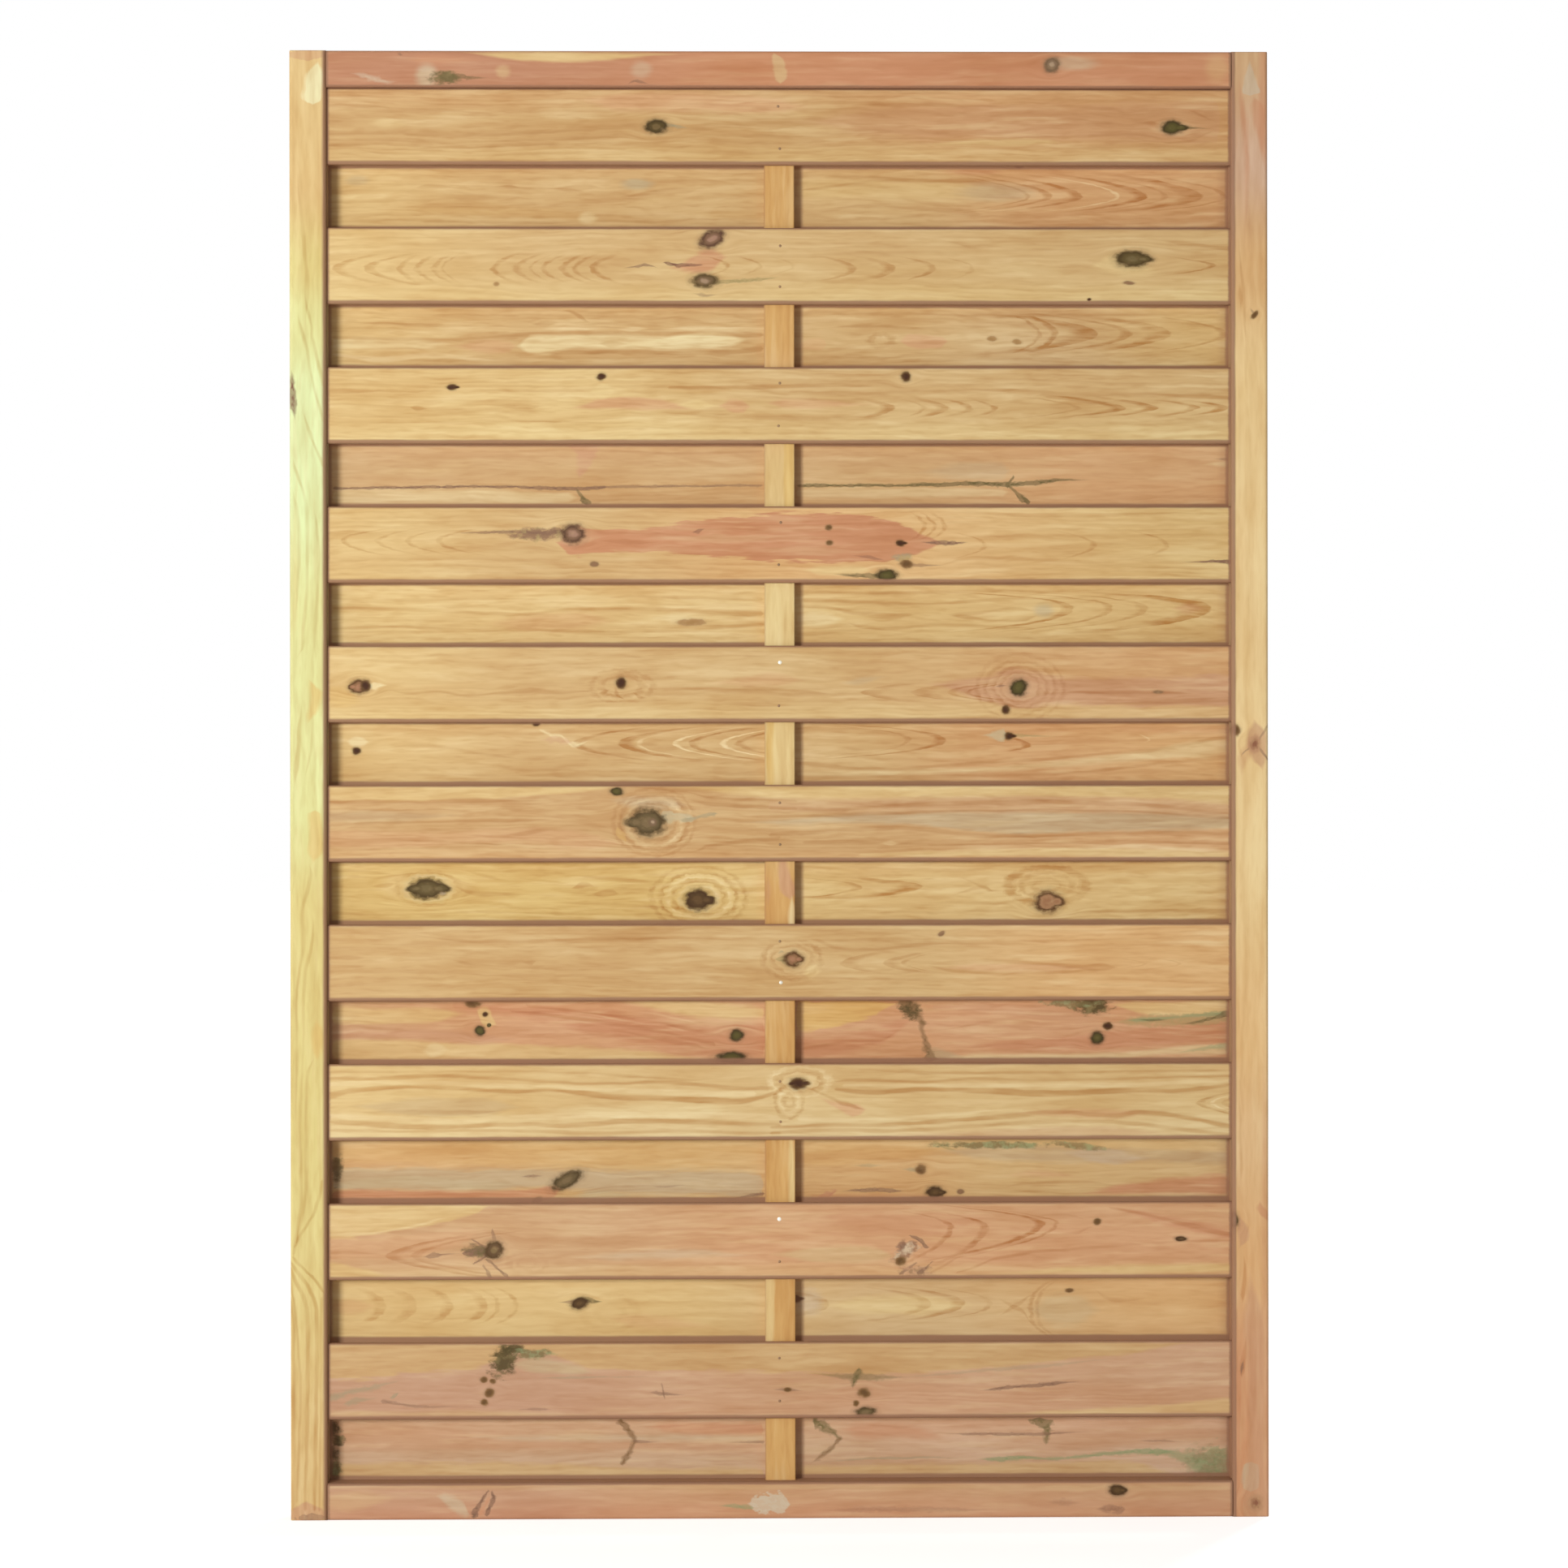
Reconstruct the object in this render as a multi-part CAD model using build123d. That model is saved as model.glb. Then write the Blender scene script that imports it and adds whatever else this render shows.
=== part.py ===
"""Slatted fence panel in planed pine, 1.2 m wide and 1.8 m high.

Each stile of the square-section frame has two grooves down its inner face. Ten slats stand in
the front grooves and ten in the rear ones. The rows are half a pitch apart, so the slats of one
row close the gaps of the other and overlap it at their edges. A centre batten fills the space
between the rows, carries their nails and is housed in the rails. The rails are held by twin stub
tenons in the same grooves as the slats, and the lowest rear slat also stands in a groove of the
bottom rail.

Axes: +X along the panel to the right, -Y towards a viewer of its front, +Z up. The origin is the
middle of the left stile's outer face, where the panel is fixed to its post.
"""

import os
from math import ceil

from build123d import *

# Frame, in millimetres
panel_width = 1200.0
panel_height = 1800.0
frame_width = 45.0  # a stile or rail, across its front face
groove_lip = 6.0  # wood in front of the front groove, and behind the rear one
frame_radius = 4.0  # planed long edges
end_radius = 1.5  # sawn ends of the stiles, rubbed over

# Slats
slat_height = 94.0
slat_thickness = 9.0
slat_radius = 3.0
least_lap = 8.0  # least overlap of a slat on its neighbours in the other row
slat_seat = 10.0  # how far each end stands in its groove

# Centre batten
batten_width = 37.0
batten_thickness = 15.0  # also the space between the two rows of slats
batten_radius = 1.5
batten_seat = 10.0  # how far each end stands in its rail

# Room for the wood to move
side_clearance = 0.2  # each side of a slat, tenon or batten in its groove or mortise
end_clearance = 1.0  # at the bottom of a groove or mortise

# Worked out from the values above
frame_depth = batten_thickness + 2 * (slat_thickness + groove_lip)
inner_width = panel_width - 2 * frame_width
inner_height = panel_height - 2 * frame_width
row_offset = (batten_thickness + slat_thickness) / 2  # from the panel's middle plane to a row
slat_pairs = ceil(inner_height / (2 * (slat_height - least_lap)))
slat_pitch = inner_height / slat_pairs
slat_lap = slat_height - slat_pitch / 2
groove_depth = slat_seat + end_clearance
groove_width = slat_thickness + 2 * side_clearance
middle_x = panel_width / 2
FRONT, REAR = -1, 1  # the sign of a row's Y


def box_between(x, y, z):
    """A block between the low and high value of each axis."""
    corner = Pos(x[0], y[0], z[0])
    size = (x[1] - x[0], y[1] - y[0], z[1] - z[0])
    return corner * Box(*size, align=(Align.MIN, Align.MIN, Align.MIN))


def centred(middle, size):
    """The low and high value of a span about its middle."""
    return middle - size / 2, middle + size / 2


def rounded_bar(length, depth, height, radius):
    """A bar along X with its long edges rounded, about the origin."""
    section = Plane.YZ * RectangleRounded(depth, height, radius)
    return extrude(section, amount=length / 2, both=True)


def sawn_ends():
    """The panel's envelope, which rubs over the outer edges of the stiles' ends."""
    outline = Plane.XZ * RectangleRounded(panel_width, panel_height, end_radius)
    face_on = extrude(outline, amount=frame_depth / 2, both=True)
    edge_on = rounded_bar(panel_width, frame_depth, panel_height, end_radius)
    return Pos(middle_x, 0, 0) * (face_on & edge_on)


def left_stile():
    """An upright with a groove for each row of slats, open at both ends."""
    section = Pos(frame_width / 2, 0) * RectangleRounded(frame_width, frame_depth, frame_radius)
    for row in (FRONT, REAR):
        groove = Rectangle(groove_depth, groove_width, align=(Align.MAX, Align.CENTER))
        section -= Pos(frame_width, row * row_offset) * groove
    return extrude(section, amount=panel_height / 2, both=True) & sawn_ends()


def plain_rail():
    """A rail about its own middle, with twin stub tenons for the stiles' grooves."""
    rail = rounded_bar(inner_width, frame_depth, frame_width, frame_radius)
    for row in (FRONT, REAR):
        rail += box_between(
            centred(0, inner_width + 2 * slat_seat),
            centred(row * row_offset, slat_thickness),
            centred(0, frame_width),
        )
    return rail


def batten_mortises():
    """The space that the centre batten takes in both rails."""
    return box_between(
        centred(middle_x, batten_width + 2 * side_clearance),
        centred(0, batten_thickness + 2 * side_clearance),
        centred(0, inner_height + 2 * (batten_seat + end_clearance)),
    )


def top_rail():
    place = Pos(middle_x, 0, (panel_height - frame_width) / 2)
    return place * plain_rail() - batten_mortises()


def bottom_rail():
    """The bottom rail, grooved for the lower edge of the last rear slat."""
    place = Pos(middle_x, 0, -(panel_height - frame_width) / 2)
    groove = box_between(
        centred(middle_x, inner_width + 2 * groove_depth),
        centred(REAR * row_offset, groove_width),
        (-inner_height / 2 - slat_lap - end_clearance, -inner_height / 2 + frame_radius),
    )
    return place * plain_rail() - batten_mortises() - groove


def centre_batten():
    section = RectangleRounded(batten_width, batten_thickness, batten_radius)
    bar = extrude(section, amount=inner_height / 2 + batten_seat, both=True)
    return Pos(middle_x, 0, 0) * bar


def slat(row, number):
    """A slat of one row, counted from 0 at the top. The rear row stands half a pitch lower."""
    bar = rounded_bar(inner_width + 2 * slat_seat, slat_thickness, slat_height, slat_radius)
    step = number if row == FRONT else number + 0.5
    height = (inner_height - slat_height) / 2 - step * slat_pitch
    return Pos(middle_x, row * row_offset, height) * bar


def all_parts():
    """Every piece of the panel by its node's name."""
    stile = left_stile()
    parts = {
        "left_stile": stile,
        "right_stile": mirror(stile, about=Plane.YZ.offset(middle_x)),
        "top_rail": top_rail(),
        "bottom_rail": bottom_rail(),
        "centre_batten": centre_batten(),
    }
    for number in range(slat_pairs):
        parts[f"front_slat_{number + 1:02d}"] = slat(FRONT, number)
        parts[f"rear_slat_{number + 1:02d}"] = slat(REAR, number)
    return parts


os.makedirs("parts", exist_ok=True)
for name, shape in all_parts().items():
    export_step(shape, f"parts/{name}.step")
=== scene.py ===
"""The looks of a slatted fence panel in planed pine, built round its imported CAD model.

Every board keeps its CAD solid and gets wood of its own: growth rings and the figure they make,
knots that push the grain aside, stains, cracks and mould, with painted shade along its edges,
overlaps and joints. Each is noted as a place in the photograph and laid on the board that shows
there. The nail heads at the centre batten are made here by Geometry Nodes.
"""

from math import atan, cos, pi, radians, sin

import bpy
from mathutils import Matrix, Vector


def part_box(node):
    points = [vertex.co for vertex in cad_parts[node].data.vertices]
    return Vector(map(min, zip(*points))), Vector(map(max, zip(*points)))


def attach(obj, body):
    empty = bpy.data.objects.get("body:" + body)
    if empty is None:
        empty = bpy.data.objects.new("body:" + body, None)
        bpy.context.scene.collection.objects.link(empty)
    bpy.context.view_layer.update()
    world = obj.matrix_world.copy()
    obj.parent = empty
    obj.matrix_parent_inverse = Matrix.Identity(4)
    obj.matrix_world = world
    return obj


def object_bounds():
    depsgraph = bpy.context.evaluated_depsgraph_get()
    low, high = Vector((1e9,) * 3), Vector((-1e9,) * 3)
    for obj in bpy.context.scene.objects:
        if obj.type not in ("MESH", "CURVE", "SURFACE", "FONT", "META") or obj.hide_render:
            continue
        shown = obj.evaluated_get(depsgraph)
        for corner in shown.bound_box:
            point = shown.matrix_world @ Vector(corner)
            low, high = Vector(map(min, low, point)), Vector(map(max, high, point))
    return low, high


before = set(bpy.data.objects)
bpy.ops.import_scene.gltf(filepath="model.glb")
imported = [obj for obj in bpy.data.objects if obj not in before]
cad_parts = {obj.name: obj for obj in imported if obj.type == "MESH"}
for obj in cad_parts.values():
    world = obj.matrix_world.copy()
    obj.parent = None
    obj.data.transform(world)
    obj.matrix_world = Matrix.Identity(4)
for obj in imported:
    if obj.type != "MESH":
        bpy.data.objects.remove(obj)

cad_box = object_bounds()
PHOTO_SIDE = 1932  # pixels
MM = 1000  # in a metre

# The photograph's view: level with the panel's middle, 5 m away and a little to the left
camera = bpy.data.cameras.new("camera")
camera.lens, camera.sensor_width = 93.612, 36
camera.shift_x, camera.shift_y = 0.00254, 0.00052
eye = bpy.data.objects.new("camera", camera)
eye.location = (0.52155, -5.02188, 0)
eye.rotation_euler = (radians(90), radians(0.066), radians(-0.899))
bpy.context.collection.objects.link(eye)
bpy.context.scene.camera = eye
bpy.context.scene.view_settings.view_transform = "Standard"


def seen_at(x, y, depth):
    """What a pixel of the photograph shows of an upright plane at this depth: a point in metres."""
    aim = camera.lens / camera.sensor_width
    ray = Vector((x / PHOTO_SIDE - 0.5 + camera.shift_x, 0.5 - y / PHOTO_SIDE + camera.shift_y, -aim))
    ray = eye.rotation_euler.to_matrix() @ ray
    return eye.location + ray * ((depth - eye.location.y) / ray.y)


def linear(hex_colour, alpha=1.0):
    """An sRGB hex colour as linear red, green, blue and alpha."""
    parts = [int(hex_colour[i : i + 2], 16) / 255 for i in (1, 3, 5)]
    return tuple(c / 12.92 if c <= 0.04045 else ((c + 0.055) / 1.055) ** 2.4 for c in parts) + (alpha,)


def add(tree, kind, inputs=None, out=None, stops=None, **settings):
    """Adds a node with its settings, ramp stops and inputs or links, and gives back an output."""
    node = tree.nodes.new(kind)
    for name, value in settings.items():
        setattr(node, name, value)
    if stops:
        ramp = node.color_ramp
        ramp.interpolation = stops[0]
        while len(ramp.elements) > 1:
            ramp.elements.remove(ramp.elements[-1])
        for number, (place, colour) in enumerate(stops[1]):
            stop = ramp.elements.new(place) if number else ramp.elements[0]
            stop.position, stop.color = place, colour
    for name, value in (inputs or {}).items():
        named = [s for s in node.inputs if s.enabled and s.name == name]
        socket = named[0] if named else node.inputs[name]
        if isinstance(value, bpy.types.NodeSocket):
            tree.links.new(value, socket)
        else:
            socket.default_value = value
    return next((s for s in node.outputs if s.enabled and out in (None, s.name)), None)


# Pine as it comes from the planer, from pale sapwood to resin-red heartwood, with its stains; also a painted
# highlight and the painted shade of edges and joints
TONES = {
    "honey": "#ddc086",
    "warm_honey": "#deb680",
    "tan_honey": "#d2b17c",
    "pale_honey": "#e4cc92",
    "cream": "#ead9a8",
    # painted highlight: the near-white of a glare
    "white_pine": "#ebe9bc",
    "lime": "#dfe09e",
    "pale_lime": "#dfebb0",
    "bright_honey": "#eed29a",
    "bright_tan": "#e9c58e",
    "light_tan": "#e4c08f",
    "warm_tan": "#dfb27e",
    "red_tan": "#d6a078",
    "dull_salmon": "#bd8868",
    "dull_rose": "#c29478",
    "warm_gold": "#dabd7a",
    "pink_ash": "#d4b194",
    "straw": "#dccd88",
    "gold": "#ddb96e",
    "golden": "#d4a868",
    "amber": "#c99f60",
    "sand": "#d4b686",
    "ash": "#cdbc9e",
    "oat": "#cca873",
    "toffee": "#cc9f6c",
    "tan": "#d6ab7a",
    "clay": "#d4a47a",
    "rose_tan": "#d0aa80",
    "rose_ash": "#ccab8a",
    "rose": "#cc9e7a",
    "salmon": "#c98f69",
    "red": "#b87c5c",
    "chalk": "#ccb89c",
    "mint": "#c4b28c",
    "grey_tan": "#c4ac87",
    "grey": "#9d9170",
    "moss": "#8c9568",
    "mould": "#7a6a42",
    "rot": "#84633f",
    "olive_tan": "#a8925f",
    "olive_bark": "#6a5c36",
    "dark_bark": "#4d3f1d",
    "bark": "#82604a",
    "brown": "#7c5440",
    # painted shade: the tone that darkens edges, overlaps and joints
    "painted_edge_shade": "#946c52",
}

# Through a year: pale early wood, then darker late wood
SEASON = ("B_SPLINE", [(0, (0, 0, 0, 1)), (0.3, (0.1, 0.1, 0.1, 1)), (0.66, (1, 1, 1, 1)),
                       (0.8, (1, 1, 1, 1)), (1, (0, 0, 0, 1))])

# A knot's colours: its middle, half way out and its dark rim, and how much it is mottled
KNOTS = {
    "dark": ("#6b5530", "#4c3a14", "#3f2e0c", 0.2),
    "olive": ("#564c20", "#4c4218", "#3c2e0c", 0.08),
    "black": ("#3a1a02", "#402206", "#583a18", 0.05),
    "spot": ("#644624", "#6a4a26", "#7c5a34", 0.15),
    "plum": ("#a07a62", "#7a5840", "#583a26", 0.25),
    "ring": ("#9c8064", "#6c5436", "#54401f", 0.2),
    "branch": ("#76603f", "#625030", "#4c3a1c", 0.2),
    "grey_olive": ("#6b5a36", "#584722", "#463412", 0.15),
    "resin": ("#5c4222", "#4c3416", "#42290c", 0.06),
    "red": ("#a17252", "#8a6240", "#563616", 0.25),
    "red_ring": ("#9b6e4b", "#a47a54", "#5c3c1e", 0.3),
    "brown": ("#8c6848", "#8a6646", "#8c6a48", 0.3),
    "star": ("#7c643e", "#60462a", "#523a1c", 0.3),
    "whorl": ("#a88e70", "#80664c", "#745a40", 0.2),
    "swirl": ("#8f5d43", "#a87a58", "#bc8e68", 0.5),
    "pin": ("#a47e4c", "#a88250", "#ac8656", 0.3),
}

# How much of a knot's rim still shows at a distance from its middle, in radii
RIM_FADE = ((0.78, 1.0), (0.94, 0.8), (1.1, 0.4), (1.3, 0.12), (1.7, 0.0))

ENDLESS = 1e4  # mm: as deep as a knot goes into its board, which is right through it
WIDEST = 100  # mm: the width of stroke that a ramp holds as 1

# Each board's own figure. Places and sizes are in pixels of the photograph, where one is about 1 mm;
# turns are in degrees against the clock, strengths from 0 to 1.
#   grain: how strongly the fine streaks show        wander, ripple: how far the grain strays, in mm
#   base: tones down its length, each held beyond the first and the last place
#   bands: tones across it, with how they cover
#   pith: across, depth behind the face, its change and slope in mm per m, ring spacing, contrast
#   zones: tone, strength, soft edge, then x, y and width along a stroke, with none
#       where it tapers to nothing, under the grain
#   lines: strength of late wood, or below 0 of pale wood, then x, y and width along a stroke
#   arches: way they point, axis, how far the arms spread up and down 100 pixels behind the tip,
#       how round the tip is, length of the arms, then each arch's tip, thickness and strength
#   ovals: x, y, how drawn out they are, then each oval's half height, thickness and strength
#   knots: kind, x, y, width, height, turn, then how far any points reach, in half widths
#   stains: tone, x, y, half width, half height, strength, under the grain
#   marks: as zones, over the grain: cracks, dashes and rough spots
#   moulds: tone, deep tone, x, y, half width, half height, turn, strength, over the grain
BOARDS = {}
BOARDS["front_slat_01"] = dict(
    grain=0.8, pith=(6, 26, 14, 0.1, 4.6, 0.4),
    base=[(960, "oat"), (1200, "toffee")],
    bands=[(115, "tan", 0.4), (150, "tan", 0), (170, "honey", 0), (192, "honey", 0.5)],
    zones=[
        ("clay", 0.6, 8, (700, 122), (760, 126, 22), (860, 126, 26), (960, 130, 20), (1010, 132)),
        ("rose", 0.35, 10, (960, 150), (1080, 150, 40), (1300, 150, 46), (1500, 150, 50)),
        ("pale_honey", 0.3, 5, (450, 152), (475, 152, 14), (512, 154)),
        ("pale_honey", 0.5, 4, (1120, 178), (1200, 176, 9), (1290, 175, 7), (1312, 175)),
    ],
    lines=[
        (0.4, (404, 178, 4), (430, 179, 5), (455, 177)),
        (0.35, (495, 181), (530, 182, 4), (660, 178, 5), (720, 179)),
        (0.35, (1040, 130), (1090, 129, 5), (1200, 130, 4), (1260, 131)),
        (0.35, (1290, 148), (1320, 147, 6), (1355, 150)), (0.4, (1395, 151), (1420, 152, 5), (1432, 154)),
        (0.4, (1460, 135), (1475, 140, 4), (1500, 150)), (0.35, (1440, 170), (1470, 171, 6), (1500, 160)),
    ],
    knots=[("dark", 809, 156, 27, 17, 0), ("olive", 1444, 157, 25, 17, 0, 1.6)],
    marks=[
        ("grey", 0.6, 1.5, (820, 154, 4), (836, 156, 4), (854, 158)),
        ("olive_bark", 0.65, 1.2, (1460, 157, 4), (1496, 159)),
    ],
)
BOARDS["rear_slat_01"] = dict(
    grain=0.8, pith=(2, 20, 24, 0, 5.5, 0.3),
    base=[(420, "honey"), (650, "tan_honey"), (1100, "tan_honey"), (1300, "tan")],
    zones=[
        ("amber", 0.4, 6, (460, 258), (540, 258, 14), (650, 262, 18), (715, 266, 10), (735, 268)),
        ("amber", 0.35, 6, (820, 262), (870, 264, 12), (936, 266, 12)),
        ("salmon", 0.5, 6, (1140, 212), (1190, 212, 12), (1225, 211, 8), (1245, 213)),
        ("pale_honey", 0.5, 8, (985, 232, 26), (1080, 233, 24), (1190, 236, 26), (1260, 238)),
    ],
    lines=[
        (0.35, (505, 232), (530, 230, 8), (572, 232)), (0.35, (612, 230), (630, 230, 6), (642, 231)),
        (0.4, (670, 232), (700, 233, 8), (728, 230, 6), (745, 232)),
        (0.5, (758, 243), (790, 239, 5), (820, 235, 7), (850, 234, 7), (872, 231)),
        (0.4, (990, 234, 3), (1050, 226, 5), (1120, 222, 5), (1200, 223, 6), (1262, 221)),
        (0.35, (1010, 258), (1060, 254, 5), (1130, 257, 5), (1195, 262, 9), (1215, 264)),
    ],
    arches=[
        ("right", 242, 27, 19, 1.89, 120, (1269, 7, 0.42), (1297, 13, 0.6), (1332, 16, 0.72)),
        ("right", 242, 27, 19, 1.89, 120, (1379, 6, -0.6), (1413, 18, 0.72), (1438, 8, 0.36),
         (1482, 32, 0.72), (1512, 9, 0.48)),
    ],
    knots=[("black", 1256, 205, 10, 5, 0)],
    stains=[
        ("mint", 785, 227, 18, 6, 0.9), ("mint", 440, 223, 14, 6, 0.5),
        ("grey_tan", 1228, 237, 44, 11, 0.6), ("cream", 724, 269, 10, 7, 0.6),
    ],
)
BOARDS["front_slat_02"] = dict(
    grain=0.6, pith=(-4, 24, -24, 0, 5.0, 0.3),
    base=[(420, "honey"), (700, "tan_honey")],
    bands=[(300, "honey", 0), (340, "pale_honey", 0.2), (365, "pale_honey", 0.6)],
    zones=[
        ("salmon", 0.8, 6, (818, 331), (845, 328, 14), (868, 322, 30), (882, 318, 22), (898, 316)),
        ("pale_honey", 0.5, 6, (1340, 330), (1370, 326, 26), (1410, 334, 18), (1435, 334)),
    ],
    lines=[
        (0.4, (1150, 294), (1200, 303, 7), (1242, 304)),
        (0.35, (1430, 298), (1450, 299, 6), (1490, 304, 5), (1516, 306, 5)),
    ],
    arches=[
        ("left", 331, 25, 26, 1.89, 70, (410, 16, 0.45), (449, 14, 0.5)),
        ("left", 331, 44, 46, 1.62, 24, (490, 8, 0.4), (511, 8, 0.45), (531, 7, 0.45), (543, 5, 0.3)),
        ("left", 331, 36, 36, 1.76, 34, (605, 9, 0.5), (632, 10, 0.5), (652, 4, 0.3), (667, 7, 0.45),
         (689, 9, 0.5), (705, 7, 0.4), (727, 10, 0.5)),
        ("right", 328, 25, 25, 1.76, 30, (899, 7, 0.5), (939, 6, 0.5), (979, 6, 0.35)),
        ("right", 331, 24, 24, 2.03, 44, (1054, 12, 0.45), (1103, 16, 0.5), (1152, 9, 0.5),
         (1200, 6, 0.25)),
        ("right", 327, 16, 16, 1.76, 70, (1497, 9, 0.55)),
    ],
    knots=[
        ("plum", 877, 294, 32, 20, 28), ("ring", 868, 346, 31, 17, 0), ("pin", 612, 350, 7, 5, 0),
        ("grey_olive", 1395, 319, 40, 20, 0, 1.3), ("brown", 1391, 349, 13, 5, 0),
        ("black", 1342, 369, 5, 4, 0),
    ],
    marks=[
        ("bark", 0.7, 1.5, (766, 331), (785, 328, 4), (800, 327, 4), (812, 331)),
        ("brown", 0.8, 1.5, (820, 324, 4), (835, 327, 5), (864, 326, 2)),
        ("olive_tan", 0.85, 1.5, (882, 348, 5), (940, 344, 3.5), (964, 342)),
        ("bark", 0.45, 2, (850, 361), (868, 364, 5), (888, 362)),
    ],
)
BOARDS["rear_slat_02"] = dict(
    grain=0.9, pith=(0, 18, 24, 0, 6.0, 0.3),
    base=[(420, "honey"), (650, "tan_honey"), (1100, "tan_honey"), (1280, "sand"), (1500, "honey")],
    zones=[
        ("cream", 0.9, 5, (634, 427), (652, 425, 22), (678, 424, 24), (704, 421, 18), (760, 421, 20),
         (815, 423, 16), (850, 420, 20), (900, 420, 16), (924, 418)),
        ("cream", 0.6, 5, (412, 423, 14), (520, 424, 14), (565, 424)),
        ("clay", 0.45, 5, (545, 426), (590, 427, 16), (628, 427, 14), (638, 426)),
        ("clay", 0.7, 3, (1106, 420), (1120, 420, 17), (1160, 421, 15), (1170, 421)),
        ("tan", 0.6, 3, (986, 425, 8), (1002, 424, 16), (1014, 424, 14), (1020, 424)),
    ],
    lines=[
        (0.5, (735, 423), (752, 423, 9), (778, 424)),
        (0.5, (412, 416, 4), (540, 418, 4), (600, 416, 4), (640, 412, 5), (700, 410, 5), (760, 411, 5),
         (880, 411, 6), (938, 413, 7)),
        (0.5, (640, 436), (700, 435, 6), (760, 433, 6), (830, 435, 6), (900, 434, 7), (938, 430, 6)),
        (-0.6, (650, 406), (700, 405, 5), (742, 406)), (-0.6, (755, 406), (780, 406, 6), (802, 405)),
        (-0.6, (812, 405), (860, 404, 6), (932, 404)),
        (-0.6, (412, 437, 4), (470, 443, 8), (530, 437, 7), (580, 443, 5), (640, 444)),
        (0.4, (430, 400), (470, 398, 4), (540, 402, 4), (580, 403)),
        (0.45, (650, 401), (675, 398, 9), (692, 397)),
        (0.5, (690, 381), (708, 386, 6), (720, 393, 5), (730, 398)),
        (0.35, (700, 400), (735, 399, 4), (820, 392, 3), (860, 389)),
        (0.35, (1010, 404), (1060, 402, 5), (1130, 404, 4), (1200, 403, 6), (1230, 404)),
        (0.35, (1010, 388), (1080, 386, 4), (1180, 388, 4), (1400, 388, 4), (1500, 385, 4)),
    ],
    arches=[
        ("right", 412, 46, 44, 1.76, 36, (1283, 6, 0.52), (1303, 10, 0.69)),
        ("right", 411, 23, 24, 2.03, 120, (1351, 36, 0.69), (1394, 16, 0.57), (1442, 32, 0.69),
         (1512, 12, 0.46)),
    ],
    ovals=[(1086, 420, 1.9, (9, 5, 0.4))],
    knots=[("pin", 1222, 417, 11, 6, 0), ("pin", 1253, 421, 11, 6, 0)],
)
BOARDS["front_slat_03"] = dict(
    grain=0.8, pith=(-8, 18, 26, 0, 5.5, 0.35),
    base=[(700, "honey"), (1000, "tan_honey")],
    bands=[(480, "honey", 0), (510, "pale_honey", 0.2), (535, "pale_honey", 0.6)],
    zones=[
        ("clay", 0.75, 4, (696, 503), (730, 499, 10), (762, 497, 16), (800, 498, 16), (830, 501, 10),
         (868, 505)),
        ("clay", 0.7, 4, (884, 500), (898, 500, 16), (916, 501, 15), (928, 501)),
        ("pale_honey", 0.7, 3, (828, 500), (858, 499, 12), (888, 500)),
        ("clay", 0.6, 4, (940, 497), (965, 497, 12), (1020, 498, 10), (1090, 498)),
        ("pale_honey", 0.5, 4, (724, 482), (742, 482, 20), (762, 483)),
    ],
    lines=[
        (0.5, (562, 479), (620, 481, 4), (700, 481, 5), (745, 479, 4), (765, 479)),
        (0.4, (404, 482, 5), (440, 482, 5), (480, 481)),
        (0.5, (825, 478, 4), (960, 476, 6), (1050, 475, 4), (1095, 478)),
        (0.4, (800, 508), (860, 511, 5), (1000, 516, 6), (1080, 514, 5), (1110, 512)),
        (0.5, (503, 502), (514, 503, 7), (530, 503)), (0.4, (568, 497), (650, 501, 7), (672, 500)),
        (0.4, (1180, 479), (1230, 480, 5), (1270, 480)),
        (0.45, (1270, 488), (1290, 488, 5), (1360, 497, 5), (1380, 500)),
        (0.35, (1390, 486), (1440, 487, 4), (1516, 490, 5)),
        (0.35, (480, 521), (560, 521, 4), (700, 520, 3), (800, 522)),
    ],
    arches=[
        ("right", 503, 22, 22, 1.8, 34, (1103, 18, 0.66), (1141, 7, 0.44), (1169, 18, 0.72),
         (1198, 12, 0.55), (1228, 9, 0.55)),
        ("right", 503, 18, 14, 1.65, 90, (1332, 10, 0.39), (1387, 22, 0.72), (1427, 22, 0.66)),
        ("right", 502, 14, 16, 1.8, 50, (1477, 16, 0.66), (1513, 18, 0.66)),
    ],
    knots=[
        ("black", 557, 477, 12, 8, 0, 1.5), ("black", 741, 464, 11, 9, 0), ("black", 1116, 464, 12, 12, 45),
    ],
)
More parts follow.
